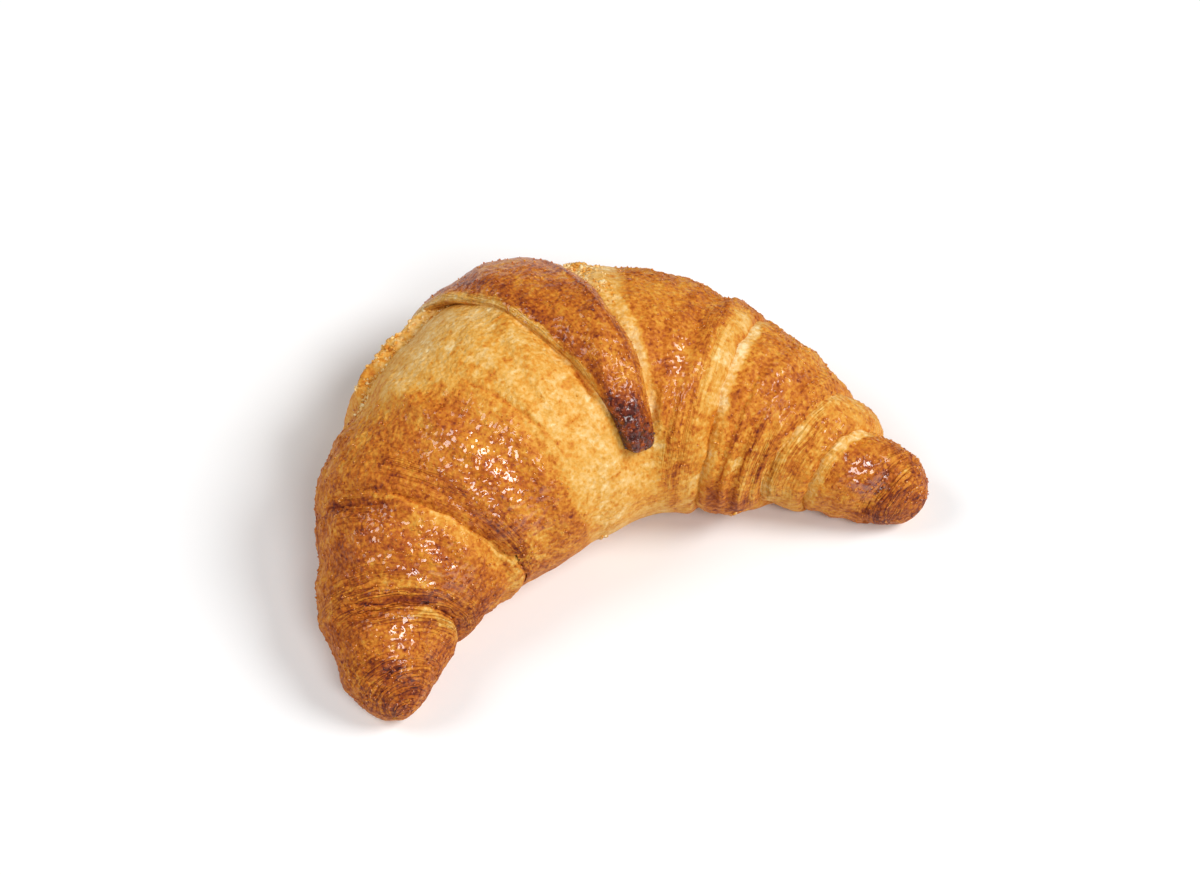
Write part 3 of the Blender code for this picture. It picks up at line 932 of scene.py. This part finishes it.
def roughness(plain, degrees, browned, glaze):
    """Clouds, grain and frost of the crust, in millimetres."""
    broad = BROAD_HEIGHT + BROAD_BROWNED * browned
    fine = FINE_HEIGHT + FINE_BROWNED * browned - FINE_GLAZED * glaze
    frost = FROST_HEIGHT * smoothstep(*FROST_ANGLES, degrees) * browned
    grain = GRAIN_HEIGHT + GRAIN_BROWNED * browned - GRAIN_GLAZED * glaze + frost
    relief = broad * clouds(plain, BROAD_SIZE, seed=41)
    relief = relief + fine * clouds(plain, FINE_SIZE, seed=47, octaves=2)
    return relief + grain * pebbles(plain, GRAIN_SPACING, GRAIN_SHARE, seed=61)


def make_wrap(wrap):
    """The skin of one wrap, and what the sugar and the crumbs need to know of it."""
    s, theta, sink = wrap_rings(wrap)
    degrees = degrees_round(theta)
    plain = section_point(s, theta)
    bake = bake_of(s, theta, wrap, plain)
    browned = smoothstep(0.30, 0.50, bake)
    layered, straight, slant = layer_lines(s, theta, plain)
    peeled, border = peeled_share(s, degrees, plain, 1.0 - browned)
    glaze = glaze_of(s, degrees, plain, bake) * (1.0 - 0.7 * peeled)
    fibres = streaks(s / 7.0, degrees / 2.0 + s / 9.0, seed=67) * (1.0 - browned)
    relief = roughness(plain, degrees, browned, glaze)
    relief = relief + LAYER_HEIGHT * layered * slant + FIBRE_HEIGHT * fibres
    relief = relief - (PEEL_DEPTH + PEEL_BROWNED * browned) * peeled
    bake = bake - 0.05 * peeled + 0.10 * border
    bake = bake - 0.08 * layered * slant + 0.10 * fibres
    relief, bake = with_cracks(relief, bake, s, degrees, plain)
    ragged = RAGGED * clouds(plain, 2.2, seed=71)
    above = smoothstep(-0.8, -0.5, np.sin(theta))
    proud = form_relief(s, theta, wrap) + torn_relief(s, degrees, ragged) + relief * above
    points = section_point(s, theta, proud - sink)
    if wrap == MIDDLE_ROLL:
        points = eased(points)
    bake = bake + 0.10 * clouds(plain, 5.0, seed=73) + 0.05 * clouds(plain, 1.3, seed=79, octaves=2)
    marks = {"bake": bake, "glaze": glaze, "layered": layered}
    marks["flaky"] = weight_of(PEELED, s, degrees)
    marks["across"], marks["along"] = straight, theta * 20.0
    piece = close_tube(WRAPS[wrap][0], points, marks)
    print(piece.name, "has", 2 * s.size, "triangles")
    return piece, {"points": points, "s": s, "degrees": degrees, "bake": bake, "glaze": glaze}


wrap_pieces, skins = zip(*(make_wrap(wrap) for wrap in range(len(WRAPS))))

# %% [markdown]
# The tongue is the last turn's point. It lies on top of everything else, so it is a piece of its
# own: a thick strip that follows the body from the back, over the top, to its burnt end. Its
# crest lies towards its right side, and its left side shows the thin layers of the dough. A
# curve with a bevel would have the same section everywhere. Rings can change from one to the
# next, so it is a tube again, and its underside is sunk into the body.

# %% Make the tongue
TONGUE_RINGS, TONGUE_AROUND = 300, 150
TONGUE_SINK = (5.0, 1.6)  # how deep its underside lies, at the root and at the end
TONGUE_ROOT_DEPTH = 2.5
TONGUE_TIP_SHARE = 0.045  # share of its length that is rounded at the end
TONGUE_BLUNTNESS = 0.6
TONGUE_CREST = 0.18  # how much higher its right side is than its middle
CREST_PHI = 0.80  # where the crest line runs, as an angle round the strip


def tongue_bake(plain, theta, across, layers, left_side, crest):
    """The tongue's bake but for its burnt end: brown, with a dark line and pale layers on its left."""
    bake = 0.54 + 0.05 * smoothstep(40.0, 90.0, theta)
    bake = bake + 0.12 * clouds(plain, 5.0, seed=99) + 0.06 * clouds(plain, 1.3, seed=101, octaves=2)
    bake = blend_to(bake, 0.45, 0.8 * spot(across, theta, 0.05, 104.0, 0.45, 8.0))
    bake = blend_to(bake, 0.72, 0.7 * np.exp(-(((across + 0.68) / 0.14) ** 2)))
    return blend_to(bake, 0.27 + 0.12 * layers, left_side) + 0.08 * crest


def make_tongue():
    """The tongue, and what the sugar needs to know of it."""
    t = np.linspace(0.0, 1.0, TONGUE_RINGS)[:, None]
    theta, middle, half, height = np.split(through(TONGUE, t[:, 0]), 4, axis=1)
    sink = TONGUE_SINK[0] + (TONGUE_SINK[1] - TONGUE_SINK[0]) * t
    q = np.clip((1.0 - t) / TONGUE_TIP_SHARE, 0.0, 1.0)
    close = TONGUE_BLUNTNESS + (1.0 - TONGUE_BLUNTNESS) * np.sqrt(1.0 - (1.0 - q) ** 2)
    phi = np.linspace(0.0, 2.0 * math.pi, TONGUE_AROUND, endpoint=False)
    across = np.cos(phi) + 0.0 * t
    rise = np.where(np.sin(phi) > 0.0, height * close * (1.0 + TONGUE_CREST * across), sink)
    buried = TONGUE_ROOT_DEPTH * smoothstep(TONGUE[2][0], TONGUE[0][0], theta)
    s = middle + half * close * across
    angles = np.radians(np.broadcast_to(theta, s.shape))
    lift = rise * np.sin(phi) - buried
    plain = section_point(s, angles, lift)
    above = smoothstep(-0.3, 0.1, np.sin(phi))
    left_side = smoothstep(-0.80, -0.92, across + 0.10 * clouds(plain, 3.0, seed=81))
    layers = streaks(phi * 13.0, t * 5.0, seed=83)
    burnt = theta + 7.0 * clouds(plain, 4.0, seed=87) - 9.0 * smoothstep(0.2, 0.9, across)
    burnt = smoothstep(111.0, 125.0, burnt)
    crest = np.exp(-(((phi - CREST_PHI) / 0.10) ** 2)) * window(theta, 34.0, 110.0, 8.0)
    relief = 0.28 * clouds(plain, 5.0, seed=89) + 0.18 * clouds(plain, 2.0, seed=91, octaves=2)
    relief = relief + 0.25 * left_side * layers + 0.5 * crest
    relief = relief + 0.14 * pebbles(plain, 1.25, 0.6, seed=93) * (1.0 - left_side)
    lumpy = 0.5 * clouds(plain, 3.0, seed=95) + 0.35 * pebbles(plain, 1.5, 0.7, seed=97)
    relief = relief + burnt * lumpy
    torn = TORN_HEIGHT * smoothstep(58.0, 12.0, theta)
    proud = form_relief(s, angles, MIDDLE_ROLL) + torn + lift + relief * above
    bake = tongue_bake(plain, theta, across, layers, left_side, crest)
    bake = blend_to(bake, 0.46, smoothstep(0.80, 0.97, across) * above)
    bake = blend_to(bake, 0.90 + 0.14 * clouds(plain, 1.8, seed=103), burnt)
    glaze = 0.22 + 0.16 * burnt
    layered = (0.30 + 0.45 * left_side) * (1.0 - burnt)
    points = section_point(s, angles, proud)
    marks = {"bake": bake, "glaze": glaze, "layered": layered}
    marks["flaky"] = 0.2 * (1.0 - burnt) * (1.0 - left_side)
    marks["across"], marks["along"] = phi * half, 1.4 * theta + 0.0 * s
    piece = close_tube("tongue", points, marks)
    degrees = degrees_round(angles)
    return piece, {"points": points, "s": s, "degrees": degrees, "bake": bake, "glaze": glaze}


tongue, tongue_skin = make_tongue()
print("tongue has", 2 * TONGUE_RINGS * TONGUE_AROUND, "triangles")

# %% [markdown]
# Sugar was strewn on the dough before it was baked. Most of it melted, but close to two thousand
# half melted grains stand on the glaze and sparkle. Each is a small uneven lump with twenty
# faces, set at a point of a skin and sunk by nearly a half. Particles would be shorter to write.
# One real mesh, built from arrays, is easier to export and is the same in every run.

# %% Sugar grains
GRAINS = 1800
GRAIN_RADIUS = (0.22, 0.42)
GRAIN_OUT = 0.1  # how far a grain's middle stands out, as a share of its radius
SEED = 20
GOLDEN = (1.0 + 5.0**0.5) / 2.0
LUMP_POINTS = np.array(
    [(0, a, b * GOLDEN) for a in (-1, 1) for b in (-1, 1)]
    + [(a, b * GOLDEN, 0) for a in (-1, 1) for b in (-1, 1)]
    + [(b * GOLDEN, 0, a) for a in (-1, 1) for b in (-1, 1)]
) / math.hypot(1.0, GOLDEN)
rng = np.random.default_rng(SEED)


def lump_faces():
    """The twenty triangles between neighbouring points, facing out."""
    apart = np.linalg.norm(LUMP_POINTS[:, None] - LUMP_POINTS[None], axis=-1)
    near = apart < 1.1 * apart[apart > 0.1].min()
    faces = []
    for i, j, k in itertools.combinations(range(12), 3):
        if near[i, j] and near[j, k] and near[i, k]:
            a, b, c = LUMP_POINTS[[i, j, k]]
            faces.append((i, j, k) if np.dot(np.cross(b - a, c - a), a) > 0 else (i, k, j))
    return np.array(faces)


def random_turns(count):
    """A random rotation matrix for each lump."""
    turns, _ = np.linalg.qr(rng.normal(size=(count, 3, 3)))
    return turns * np.linalg.det(turns)[:, None, None]


def lumps(name, places, radii, squash, marks):
    """Uneven lumps at those places, as one mesh."""
    count = len(places)
    faces = lump_faces()
    shape = LUMP_POINTS * rng.uniform(0.75, 1.2, (count, 12, 1)) * squash[:, None, :]
    turned = np.einsum("nij,nkj->nki", random_turns(count), shape)
    points = places[:, None] + turned * radii[:, None, None]
    joined = (faces[None] + 12 * np.arange(count)[:, None, None]).reshape(-1, 3).tolist()
    spread_marks = {mark: np.repeat(values, 12) for mark, values in marks.items()}
    print(name, "has", len(joined), "triangles")
    return mesh_object(name, points, joined, spread_marks)


def skin_points(skins_used, weigh, count):
    """Random points of some skins, chosen by weight, with their outward directions."""
    every = {key: [] for key in ("points", "out", "s", "degrees", "bake", "glaze")}
    for skin in skins_used:
        points = skin["points"][4:-4]
        out = np.cross(np.gradient(points, axis=1), np.gradient(points, axis=0))
        out /= np.linalg.norm(out, axis=-1, keepdims=True) + 1e-9
        out *= np.sign((out * (points - points.mean(1, keepdims=True))).sum(-1).mean())
        every["points"].append(points.reshape(-1, 3))
        every["out"].append(out.reshape(-1, 3))
        for key in ("s", "degrees", "bake", "glaze"):
            every[key].append(skin[key][4:-4].ravel())
    every = {key: np.concatenate(values) for key, values in every.items()}
    weight = np.clip(weigh(every), 0.0, None)
    chosen = rng.choice(len(weight), count, replace=False, p=weight / weight.sum())
    return {key: values[chosen] for key, values in every.items()}


def sugar_weight(places):
    """Grains lie on browned crust that faces up, most of all on the glaze."""
    facing_up = smoothstep(-0.1, 0.5, places["out"][:, 2])
    browned = smoothstep(0.35, 0.52, places["bake"])
    return facing_up * browned * (0.35 + places["glaze"])


def make_sugar():
    """All the grains, as one mesh."""
    at = skin_points(list(skins) + [tongue_skin], sugar_weight, GRAINS)
    radii = rng.uniform(*GRAIN_RADIUS, GRAINS)
    places = at["points"] + at["out"] * radii[:, None] * GRAIN_OUT
    squash = rng.uniform(0.7, 1.1, (GRAINS, 3))
    bake = at["bake"] - 0.04 + 0.06 * rng.normal(size=GRAINS).clip(-1, 1)
    plain_marks = {mark: np.zeros(GRAINS) for mark in ("layered", "flaky", "across", "along")}
    marks = {"bake": bake, "glaze": np.ones(GRAINS), **plain_marks}
    return lumps("sugar_grains", places, radii, squash, marks)


sugar = make_sugar()

# %% [markdown]
# Crumbs and torn scraps of the layers cling to the ragged edge behind the tongue, to the place
# where the tongue leaves the top, and to the inside of the bend near the tray. They are larger
# and flatter than the sugar, and only lightly baked. The same lumps serve for them, squashed
# more and placed by soft spots.

# %% Crumbs
CRUMB_PLACES = (
    # s, angle, reach along, reach round, share of the crumbs
    (62, 27, 5, 4, 1.0),
    (72, 25, 7, 4, 1.0),
    (84, 25, 8, 5, 0.9),
    (105, 40, 3, 14, 1.0),
    (108, 62, 3, 14, 0.4),
    (88, 198, 4, 5, 0.4),
    (147, 196, 3, 5, 0.25),
)
CRUMBS = 520
CRUMB_RADIUS = (0.3, 0.75)
CRUMB_OUT = 0.08
CRUMB_BAKES = [0.08, 0.14, 0.22, 0.36]


def crumb_weight(places):
    """Crumbs lie in a few places, and thin out quickly round them."""
    return weight_of(CRUMB_PLACES, places["s"], places["degrees"]) ** 2


def make_crumbs():
    """All the crumbs, as one mesh."""
    at = skin_points([skins[MIDDLE_ROLL], skins[FIRST_RIGHT]], crumb_weight, CRUMBS)
    radii = rng.uniform(*CRUMB_RADIUS, CRUMBS)
    squash = rng.uniform(0.3, 1.2, (CRUMBS, 3))
    bake = rng.choice(CRUMB_BAKES, CRUMBS) + 0.05 * rng.normal(size=CRUMBS)
    marks = {mark: np.zeros(CRUMBS) for mark in ("glaze", "layered", "flaky", "across", "along")}
    places = at["points"] + at["out"] * radii[:, None] * CRUMB_OUT
    return lumps("crumbs", places, radii, squash, {"bake": bake, **marks})


crumbs = make_crumbs()

# %% [markdown]
# The colours of the crust. Two rows of colours turn the bake number into colour, one for dry
# crust and a deeper one for glazed crust, and the glaze number will mix them. One flat colour
# would never do for a baked thing, and two ramps keep every tone in one short list.

# %% The colours of the crust
DRY_COLOURS = (
    # bake, red, green, blue as the eye sees them, from 0 to 255
    (0.00, 246, 222, 168),
    (0.15, 236, 191, 118),
    (0.28, 227, 170, 78),
    (0.40, 219, 147, 50),
    (0.52, 205, 122, 36),
    (0.64, 182, 95, 22),
    (0.76, 148, 68, 16),
    (0.88, 116, 42, 22),
    (1.00, 72, 24, 14),
)
GLAZED_COLOURS = (
    (0.00, 248, 212, 120),
    (0.15, 240, 188, 78),
    (0.28, 232, 162, 44),
    (0.40, 219, 136, 22),
    (0.52, 202, 112, 10),
    (0.64, 180, 84, 4),
    (0.76, 148, 58, 6),
    (0.88, 104, 34, 14),
    (1.00, 64, 20, 12),
)


def linear(colour):
    """A colour from 0 to 255, as the shader counts light."""
    parts = np.asarray(colour, float) / 255.0
    return tuple(np.where(parts <= 0.04045, parts / 12.92, ((parts + 0.055) / 1.055) ** 2.4))


print("golden brown, as the shader counts it:", np.round(linear(DRY_COLOURS[4][1:]), 3))

# %% [markdown]
# A material is a tree of nodes. Built by hand in the editor it would be a maze of boxes, so a
# few helpers make the nodes that come again and again: sums, ranges, noise, marks and ramps.

# %% Helpers for nodes
def add_node(tree, kind, **inputs):
    """A node of that kind, with some inputs linked or set by name."""
    node = tree.nodes.new(kind)
    for name, value in inputs.items():
        socket = node.inputs[int(name[1:])] if name[0] == "_" else node.inputs[name]
        if isinstance(value, bpy.types.NodeSocket):
            tree.links.new(value, socket)
        else:
            socket.default_value = value
    return node


def maths(tree, operation, one, two):
    """One number worked out from two."""
    node = add_node(tree, "ShaderNodeMath", _0=one, _1=two)
    node.operation = operation
    return node.outputs[0]


def add_up(tree, total, *parts):
    """The total, with several numbers added to it, each by its own weight."""
    for value, weight in parts:
        total = maths(tree, "ADD", total, maths(tree, "MULTIPLY", value, weight))
    return total


def spread(tree, value, low, high, to_low, to_high):
    """A number taken from one range to another, and held inside it."""
    node = add_node(tree, "ShaderNodeMapRange", _0=value, _1=low, _2=high, _3=to_low, _4=to_high)
    return node.outputs[0]


def noise(tree, where, size, detail=2.0):
    """Noise with blobs of that size in millimetres."""
    node = add_node(tree, "ShaderNodeTexNoise", Vector=where, Scale=1.0 / (size * MM), Detail=detail)
    return node.outputs["Fac"]


def mark(tree, name):
    """A number that the points of the mesh carry."""
    node = tree.nodes.new("ShaderNodeAttribute")
    node.attribute_name = name
    return node.outputs["Fac"]


def ramp(tree, value, colours):
    """A colour for each value, from a row of colours."""
    node = tree.nodes.new("ShaderNodeValToRGB")
    stops = node.color_ramp.elements
    while len(stops) < len(colours):
        stops.new(0.5)
    for stop, (place, *colour) in zip(stops, colours):
        stop.position = place
        stop.color = (*linear(colour), 1.0)
    tree.links.new(value, node.inputs["Fac"])
    return node.outputs["Color"]


print("helpers ready for Blender", bpy.app.version_string)

# %% [markdown]
# The patterns in the crust. Thin layers are noise that is stretched along the rims, flakes are
# cells with an uneven outline, and the flecks are noise of several sizes. A photograph of crust
# would repeat and stretch over the bend, and noise in the object's own space does neither.

# %% Layers, flakes and flecks
LAYER_SPACING, LAYER_LENGTH = 1.0, 24.0
FLAKE_SIZE = 2.1
FLAKE_UNEVEN_SIZE, FLAKE_UNEVEN = 1.2, 1.8  # size and height of the noise that bends the outlines


def layer_pattern(tree, layered):
    """Thin layers: the dark gaps between them, and how far each swells."""
    across = maths(tree, "MULTIPLY", mark(tree, "across"), 1.0 / LAYER_SPACING)
    along = maths(tree, "MULTIPLY", mark(tree, "along"), 1.0 / LAYER_LENGTH)
    place = add_node(tree, "ShaderNodeCombineXYZ", X=across, Y=along).outputs[0]
    layers = add_node(tree, "ShaderNodeTexNoise", Vector=place, Scale=1.0, Detail=3.0)
    centred = maths(tree, "SUBTRACT", layers.outputs["Fac"], 0.5)
    gap = spread(tree, maths(tree, "ABSOLUTE", centred, 0.0), 0.0, 0.05, 1.0, 0.0)
    return maths(tree, "MULTIPLY", gap, layered), maths(tree, "MULTIPLY", centred, layered)


def flake_pattern(tree, where):
    """Flakes: cells, each baked a little more or less than the next."""
    uneven = add_node(tree, "ShaderNodeTexNoise", Vector=where, Scale=1.0 / (FLAKE_UNEVEN_SIZE * MM))
    bend = (FLAKE_UNEVEN * MM,) * 3
    moved = add_node(tree, "ShaderNodeVectorMath", _0=uneven.outputs["Color"], _1=bend)
    moved.operation = "MULTIPLY"
    moved = add_node(tree, "ShaderNodeVectorMath", _0=where, _1=moved.outputs[0])
    cells = add_node(tree, "ShaderNodeTexVoronoi", Vector=moved.outputs[0], Scale=1.0 / (FLAKE_SIZE * MM))
    cells = maths(tree, "SUBTRACT", cells.outputs["Color"], 0.5)
    return maths(tree, "MULTIPLY", cells, mark(tree, "flaky"))


def fleck_pattern(tree, where):
    """Broad blotches, fine flecks, and single dark and light specks."""
    blotches = spread(tree, noise(tree, where, 3.4, 2.0), 0.30, 0.70, -0.09, 0.09)
    fine = spread(tree, noise(tree, where, 1.0, 4.0), 0.30, 0.70, -0.15, 0.15)
    dark = spread(tree, noise(tree, where, 1.3, 1.0), 0.63, 0.68, 0.0, 0.14)
    light = spread(tree, noise(tree, where, 1.7, 1.0), 0.64, 0.74, 0.0, -0.10)
    flecks = maths(tree, "ADD", fine, maths(tree, "ADD", dark, light))
    return maths(tree, "ADD", flecks, blotches)


print("flakes of", FLAKE_SIZE, "mm and layers of", LAYER_SPACING, "mm")

# %% [markdown]
# The crust's finish. The patterns shift the bake number a little, and the ramps turn it into
# colour. What is finer than about a millimetre is bump, because a mesh fine enough for it would
# be huge. Dry crust is matt. The glaze is a clear coat with slow ripples of its own, so it
# catches the light in points, as melted sugar does, while the crust below it stays rough.

# %% The crust finish
COLOUR_SHARES = {"flakes": 0.38, "gap": 0.22, "swell": -0.46}
HEIGHT_SHARES = {"flakes": -1.2, "gap": -0.5, "swell": 1.6}
BUMP_HEIGHT = 0.42
GRAIN_SIZE = 1.2
GRAIN_DEPTH = -0.8  # a cell is lowest at its border
COAT_ROUGHNESS, COAT_IOR = 0.07, 1.65
RIPPLE_SIZE, RIPPLE_HEIGHT = 1.7, 0.70


def crust_colour(tree, total, glaze):
    """The colour of a bake, mixed from dry and glazed crust."""
    mixed = tree.nodes.new("ShaderNodeMix")
    mixed.data_type = "RGBA"
    tree.links.new(glaze, mixed.inputs[0])
    tree.links.new(ramp(tree, total, DRY_COLOURS), mixed.inputs[6])
    tree.links.new(ramp(tree, total, GLAZED_COLOURS), mixed.inputs[7])
    return mixed.outputs[2]


def bumps(tree, heights, distance):
    """Light and shade of heights, in millimetres, that aren't in the mesh."""
    bump = add_node(tree, "ShaderNodeBump", Height=heights, Strength=1.0, Distance=distance * MM)
    return bump.outputs["Normal"]


def crust_material(name):
    """The finish of every piece of the croissant."""
    material = bpy.data.materials.new(name)
    material.use_nodes = True
    tree = material.node_tree
    shader = tree.nodes["Principled BSDF"]
    where = tree.nodes.new("ShaderNodeTexCoord").outputs["Object"]
    bake, glaze = mark(tree, "bake"), mark(tree, "glaze")
    browned = spread(tree, bake, 0.28, 0.50, 0.8, 1.0)
    gap, swell = layer_pattern(tree, mark(tree, "layered"))
    patterns = {"flakes": flake_pattern(tree, where), "gap": gap, "swell": swell}

    colour_parts = [(patterns[key], share) for key, share in COLOUR_SHARES.items()]
    total = add_up(tree, bake, (fleck_pattern(tree, where), browned), *colour_parts)
    tree.links.new(crust_colour(tree, total, glaze), shader.inputs["Base Color"])

    grains = add_node(tree, "ShaderNodeTexVoronoi", Vector=where, Scale=1.0 / (GRAIN_SIZE * MM))
    grains.feature = "SMOOTH_F1"
    rough = maths(tree, "MULTIPLY", grains.outputs["Distance"], GRAIN_DEPTH)
    rough = maths(tree, "ADD", rough, noise(tree, where, 0.8, 2.0))
    height_parts = [(patterns[key], share) for key, share in HEIGHT_SHARES.items()]
    heights = add_up(tree, maths(tree, "MULTIPLY", rough, browned), *height_parts)
    tree.links.new(bumps(tree, heights, BUMP_HEIGHT), shader.inputs["Normal"])

    tree.links.new(spread(tree, glaze, 0.0, 0.8, 0.55, 0.45), shader.inputs["Roughness"])
    shader.inputs["Specular IOR Level"].default_value = 0.18
    tree.links.new(spread(tree, glaze, 0.05, 0.6, 0.0, 1.0), shader.inputs["Coat Weight"])
    shader.inputs["Coat Roughness"].default_value = COAT_ROUGHNESS
    shader.inputs["Coat IOR"].default_value = COAT_IOR
    ripple = noise(tree, where, RIPPLE_SIZE, 0.0)
    tree.links.new(bumps(tree, ripple, RIPPLE_HEIGHT), shader.inputs["Coat Normal"])
    return material


crust = crust_material("baked_crust_finish")
for piece in [*wrap_pieces, tongue, sugar, crumbs]:
    piece.data.materials.append(crust)
    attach(piece, "root")
    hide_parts(NODE)
print("pieces with the crust finish:", len(wrap_pieces) + 3)

# %% [markdown]
# The camera looks down from 60 degrees and stands 25 degrees to the left, far enough away for a
# long lens. Both angles were found by laying the solid's outline over the photograph's. It could
# be moved by hand in the viewport, but with an aim and two angles it is found again at once.

# %% The camera
CAMERA_TURN, CAMERA_HEIGHT = math.radians(-25.0), math.radians(60.0)
CAMERA_DISTANCE = 708.0
CAMERA_AIM = (5.22, -1.90, 20.0)
LENS, SENSOR = 85.0, 36.0


def direction(turn, height):
    """The unit vector towards a camera or light: turn from the front to the right, and height."""
    flat = math.cos(height)
    return np.array([math.sin(turn) * flat, -math.cos(turn) * flat, math.sin(height)])


def aim(thing, place, target):
    """Puts a camera or a light at a place, looking at the target, both in millimetres."""
    place, target = Vector(place) * MM, Vector(target) * MM
    thing.location = place
    thing.rotation_euler = (target - place).to_track_quat("-Z", "Y").to_euler()
    bpy.context.scene.collection.objects.link(thing)


camera_data = bpy.data.cameras.new("camera")
camera_data.lens = LENS
camera_data.sensor_width = SENSOR
camera = bpy.data.objects.new("camera", camera_data)
aim(camera, CAMERA_AIM + CAMERA_DISTANCE * direction(CAMERA_TURN, CAMERA_HEIGHT), CAMERA_AIM)
bpy.context.scene.camera = camera
print("camera in mm:", np.round(np.array(camera.location) / MM).tolist())

# %% [markdown]
# The studio: a pale floor, two soft lights to the right of the camera, a weaker one behind on
# the left and a dim room. Their places follow from the shadow in the photograph. A sky picture
# could light the scene too, but three lamps with an angle each are easier to move.

# %% Light and floor
FLOOR_SIZE = 6.0
FLOOR_GREY = 0.93
FLOOR_DEPTH = 0.1  # how far it lies below the croissant
LIGHT_DISTANCE = 2500.0
LIGHT_AIM = (0.0, 0.0, 20.0)
LIGHTS = (
    # name, turn to the right, height, size, share of the floor's light
    ("key", 64.0, 48.0, 1100.0, 0.46),
    ("front", 4.0, 54.0, 1000.0, 0.27),
    ("left", -120.0, 50.0, 1200.0, 0.25),
)
ROOM_SHARE = 0.15

for name, turn, height, size, share in LIGHTS:
    lamp = bpy.data.lights.new(name, "AREA")
    lamp.shape = "DISK"
    lamp.size = size * MM
    height = math.radians(height)
    lamp.energy = share * (math.pi * LIGHT_DISTANCE * MM) ** 2 / (FLOOR_GREY * math.sin(height))
    place = direction(math.radians(turn), height) * LIGHT_DISTANCE
    aim(bpy.data.objects.new(name, lamp), place, LIGHT_AIM)
    print(name, "light:", round(lamp.energy, 2), "W")

world = bpy.data.worlds.new("room")
world.use_nodes = True
world.node_tree.nodes["Background"].inputs["Color"].default_value = (1.0, 1.0, 1.0, 1.0)
world.node_tree.nodes["Background"].inputs["Strength"].default_value = ROOM_SHARE / FLOOR_GREY
bpy.context.scene.world = world
bpy.context.scene.view_settings.view_transform = "Standard"

bpy.ops.mesh.primitive_plane_add(size=FLOOR_SIZE, location=(0.0, 0.0, -FLOOR_DEPTH * MM))
floor = bpy.context.object
floor.name = "floor"
floor_finish = bpy.data.materials.new("pale_floor")
floor_finish.use_nodes = True
floor_shader = floor_finish.node_tree.nodes["Principled BSDF"]
floor_shader.inputs["Base Color"].default_value = (FLOOR_GREY, FLOOR_GREY, FLOOR_GREY, 1.0)
floor_shader.inputs["Roughness"].default_value = 0.9
floor_shader.inputs["Specular IOR Level"].default_value = 0.1
floor.data.materials.append(floor_finish)
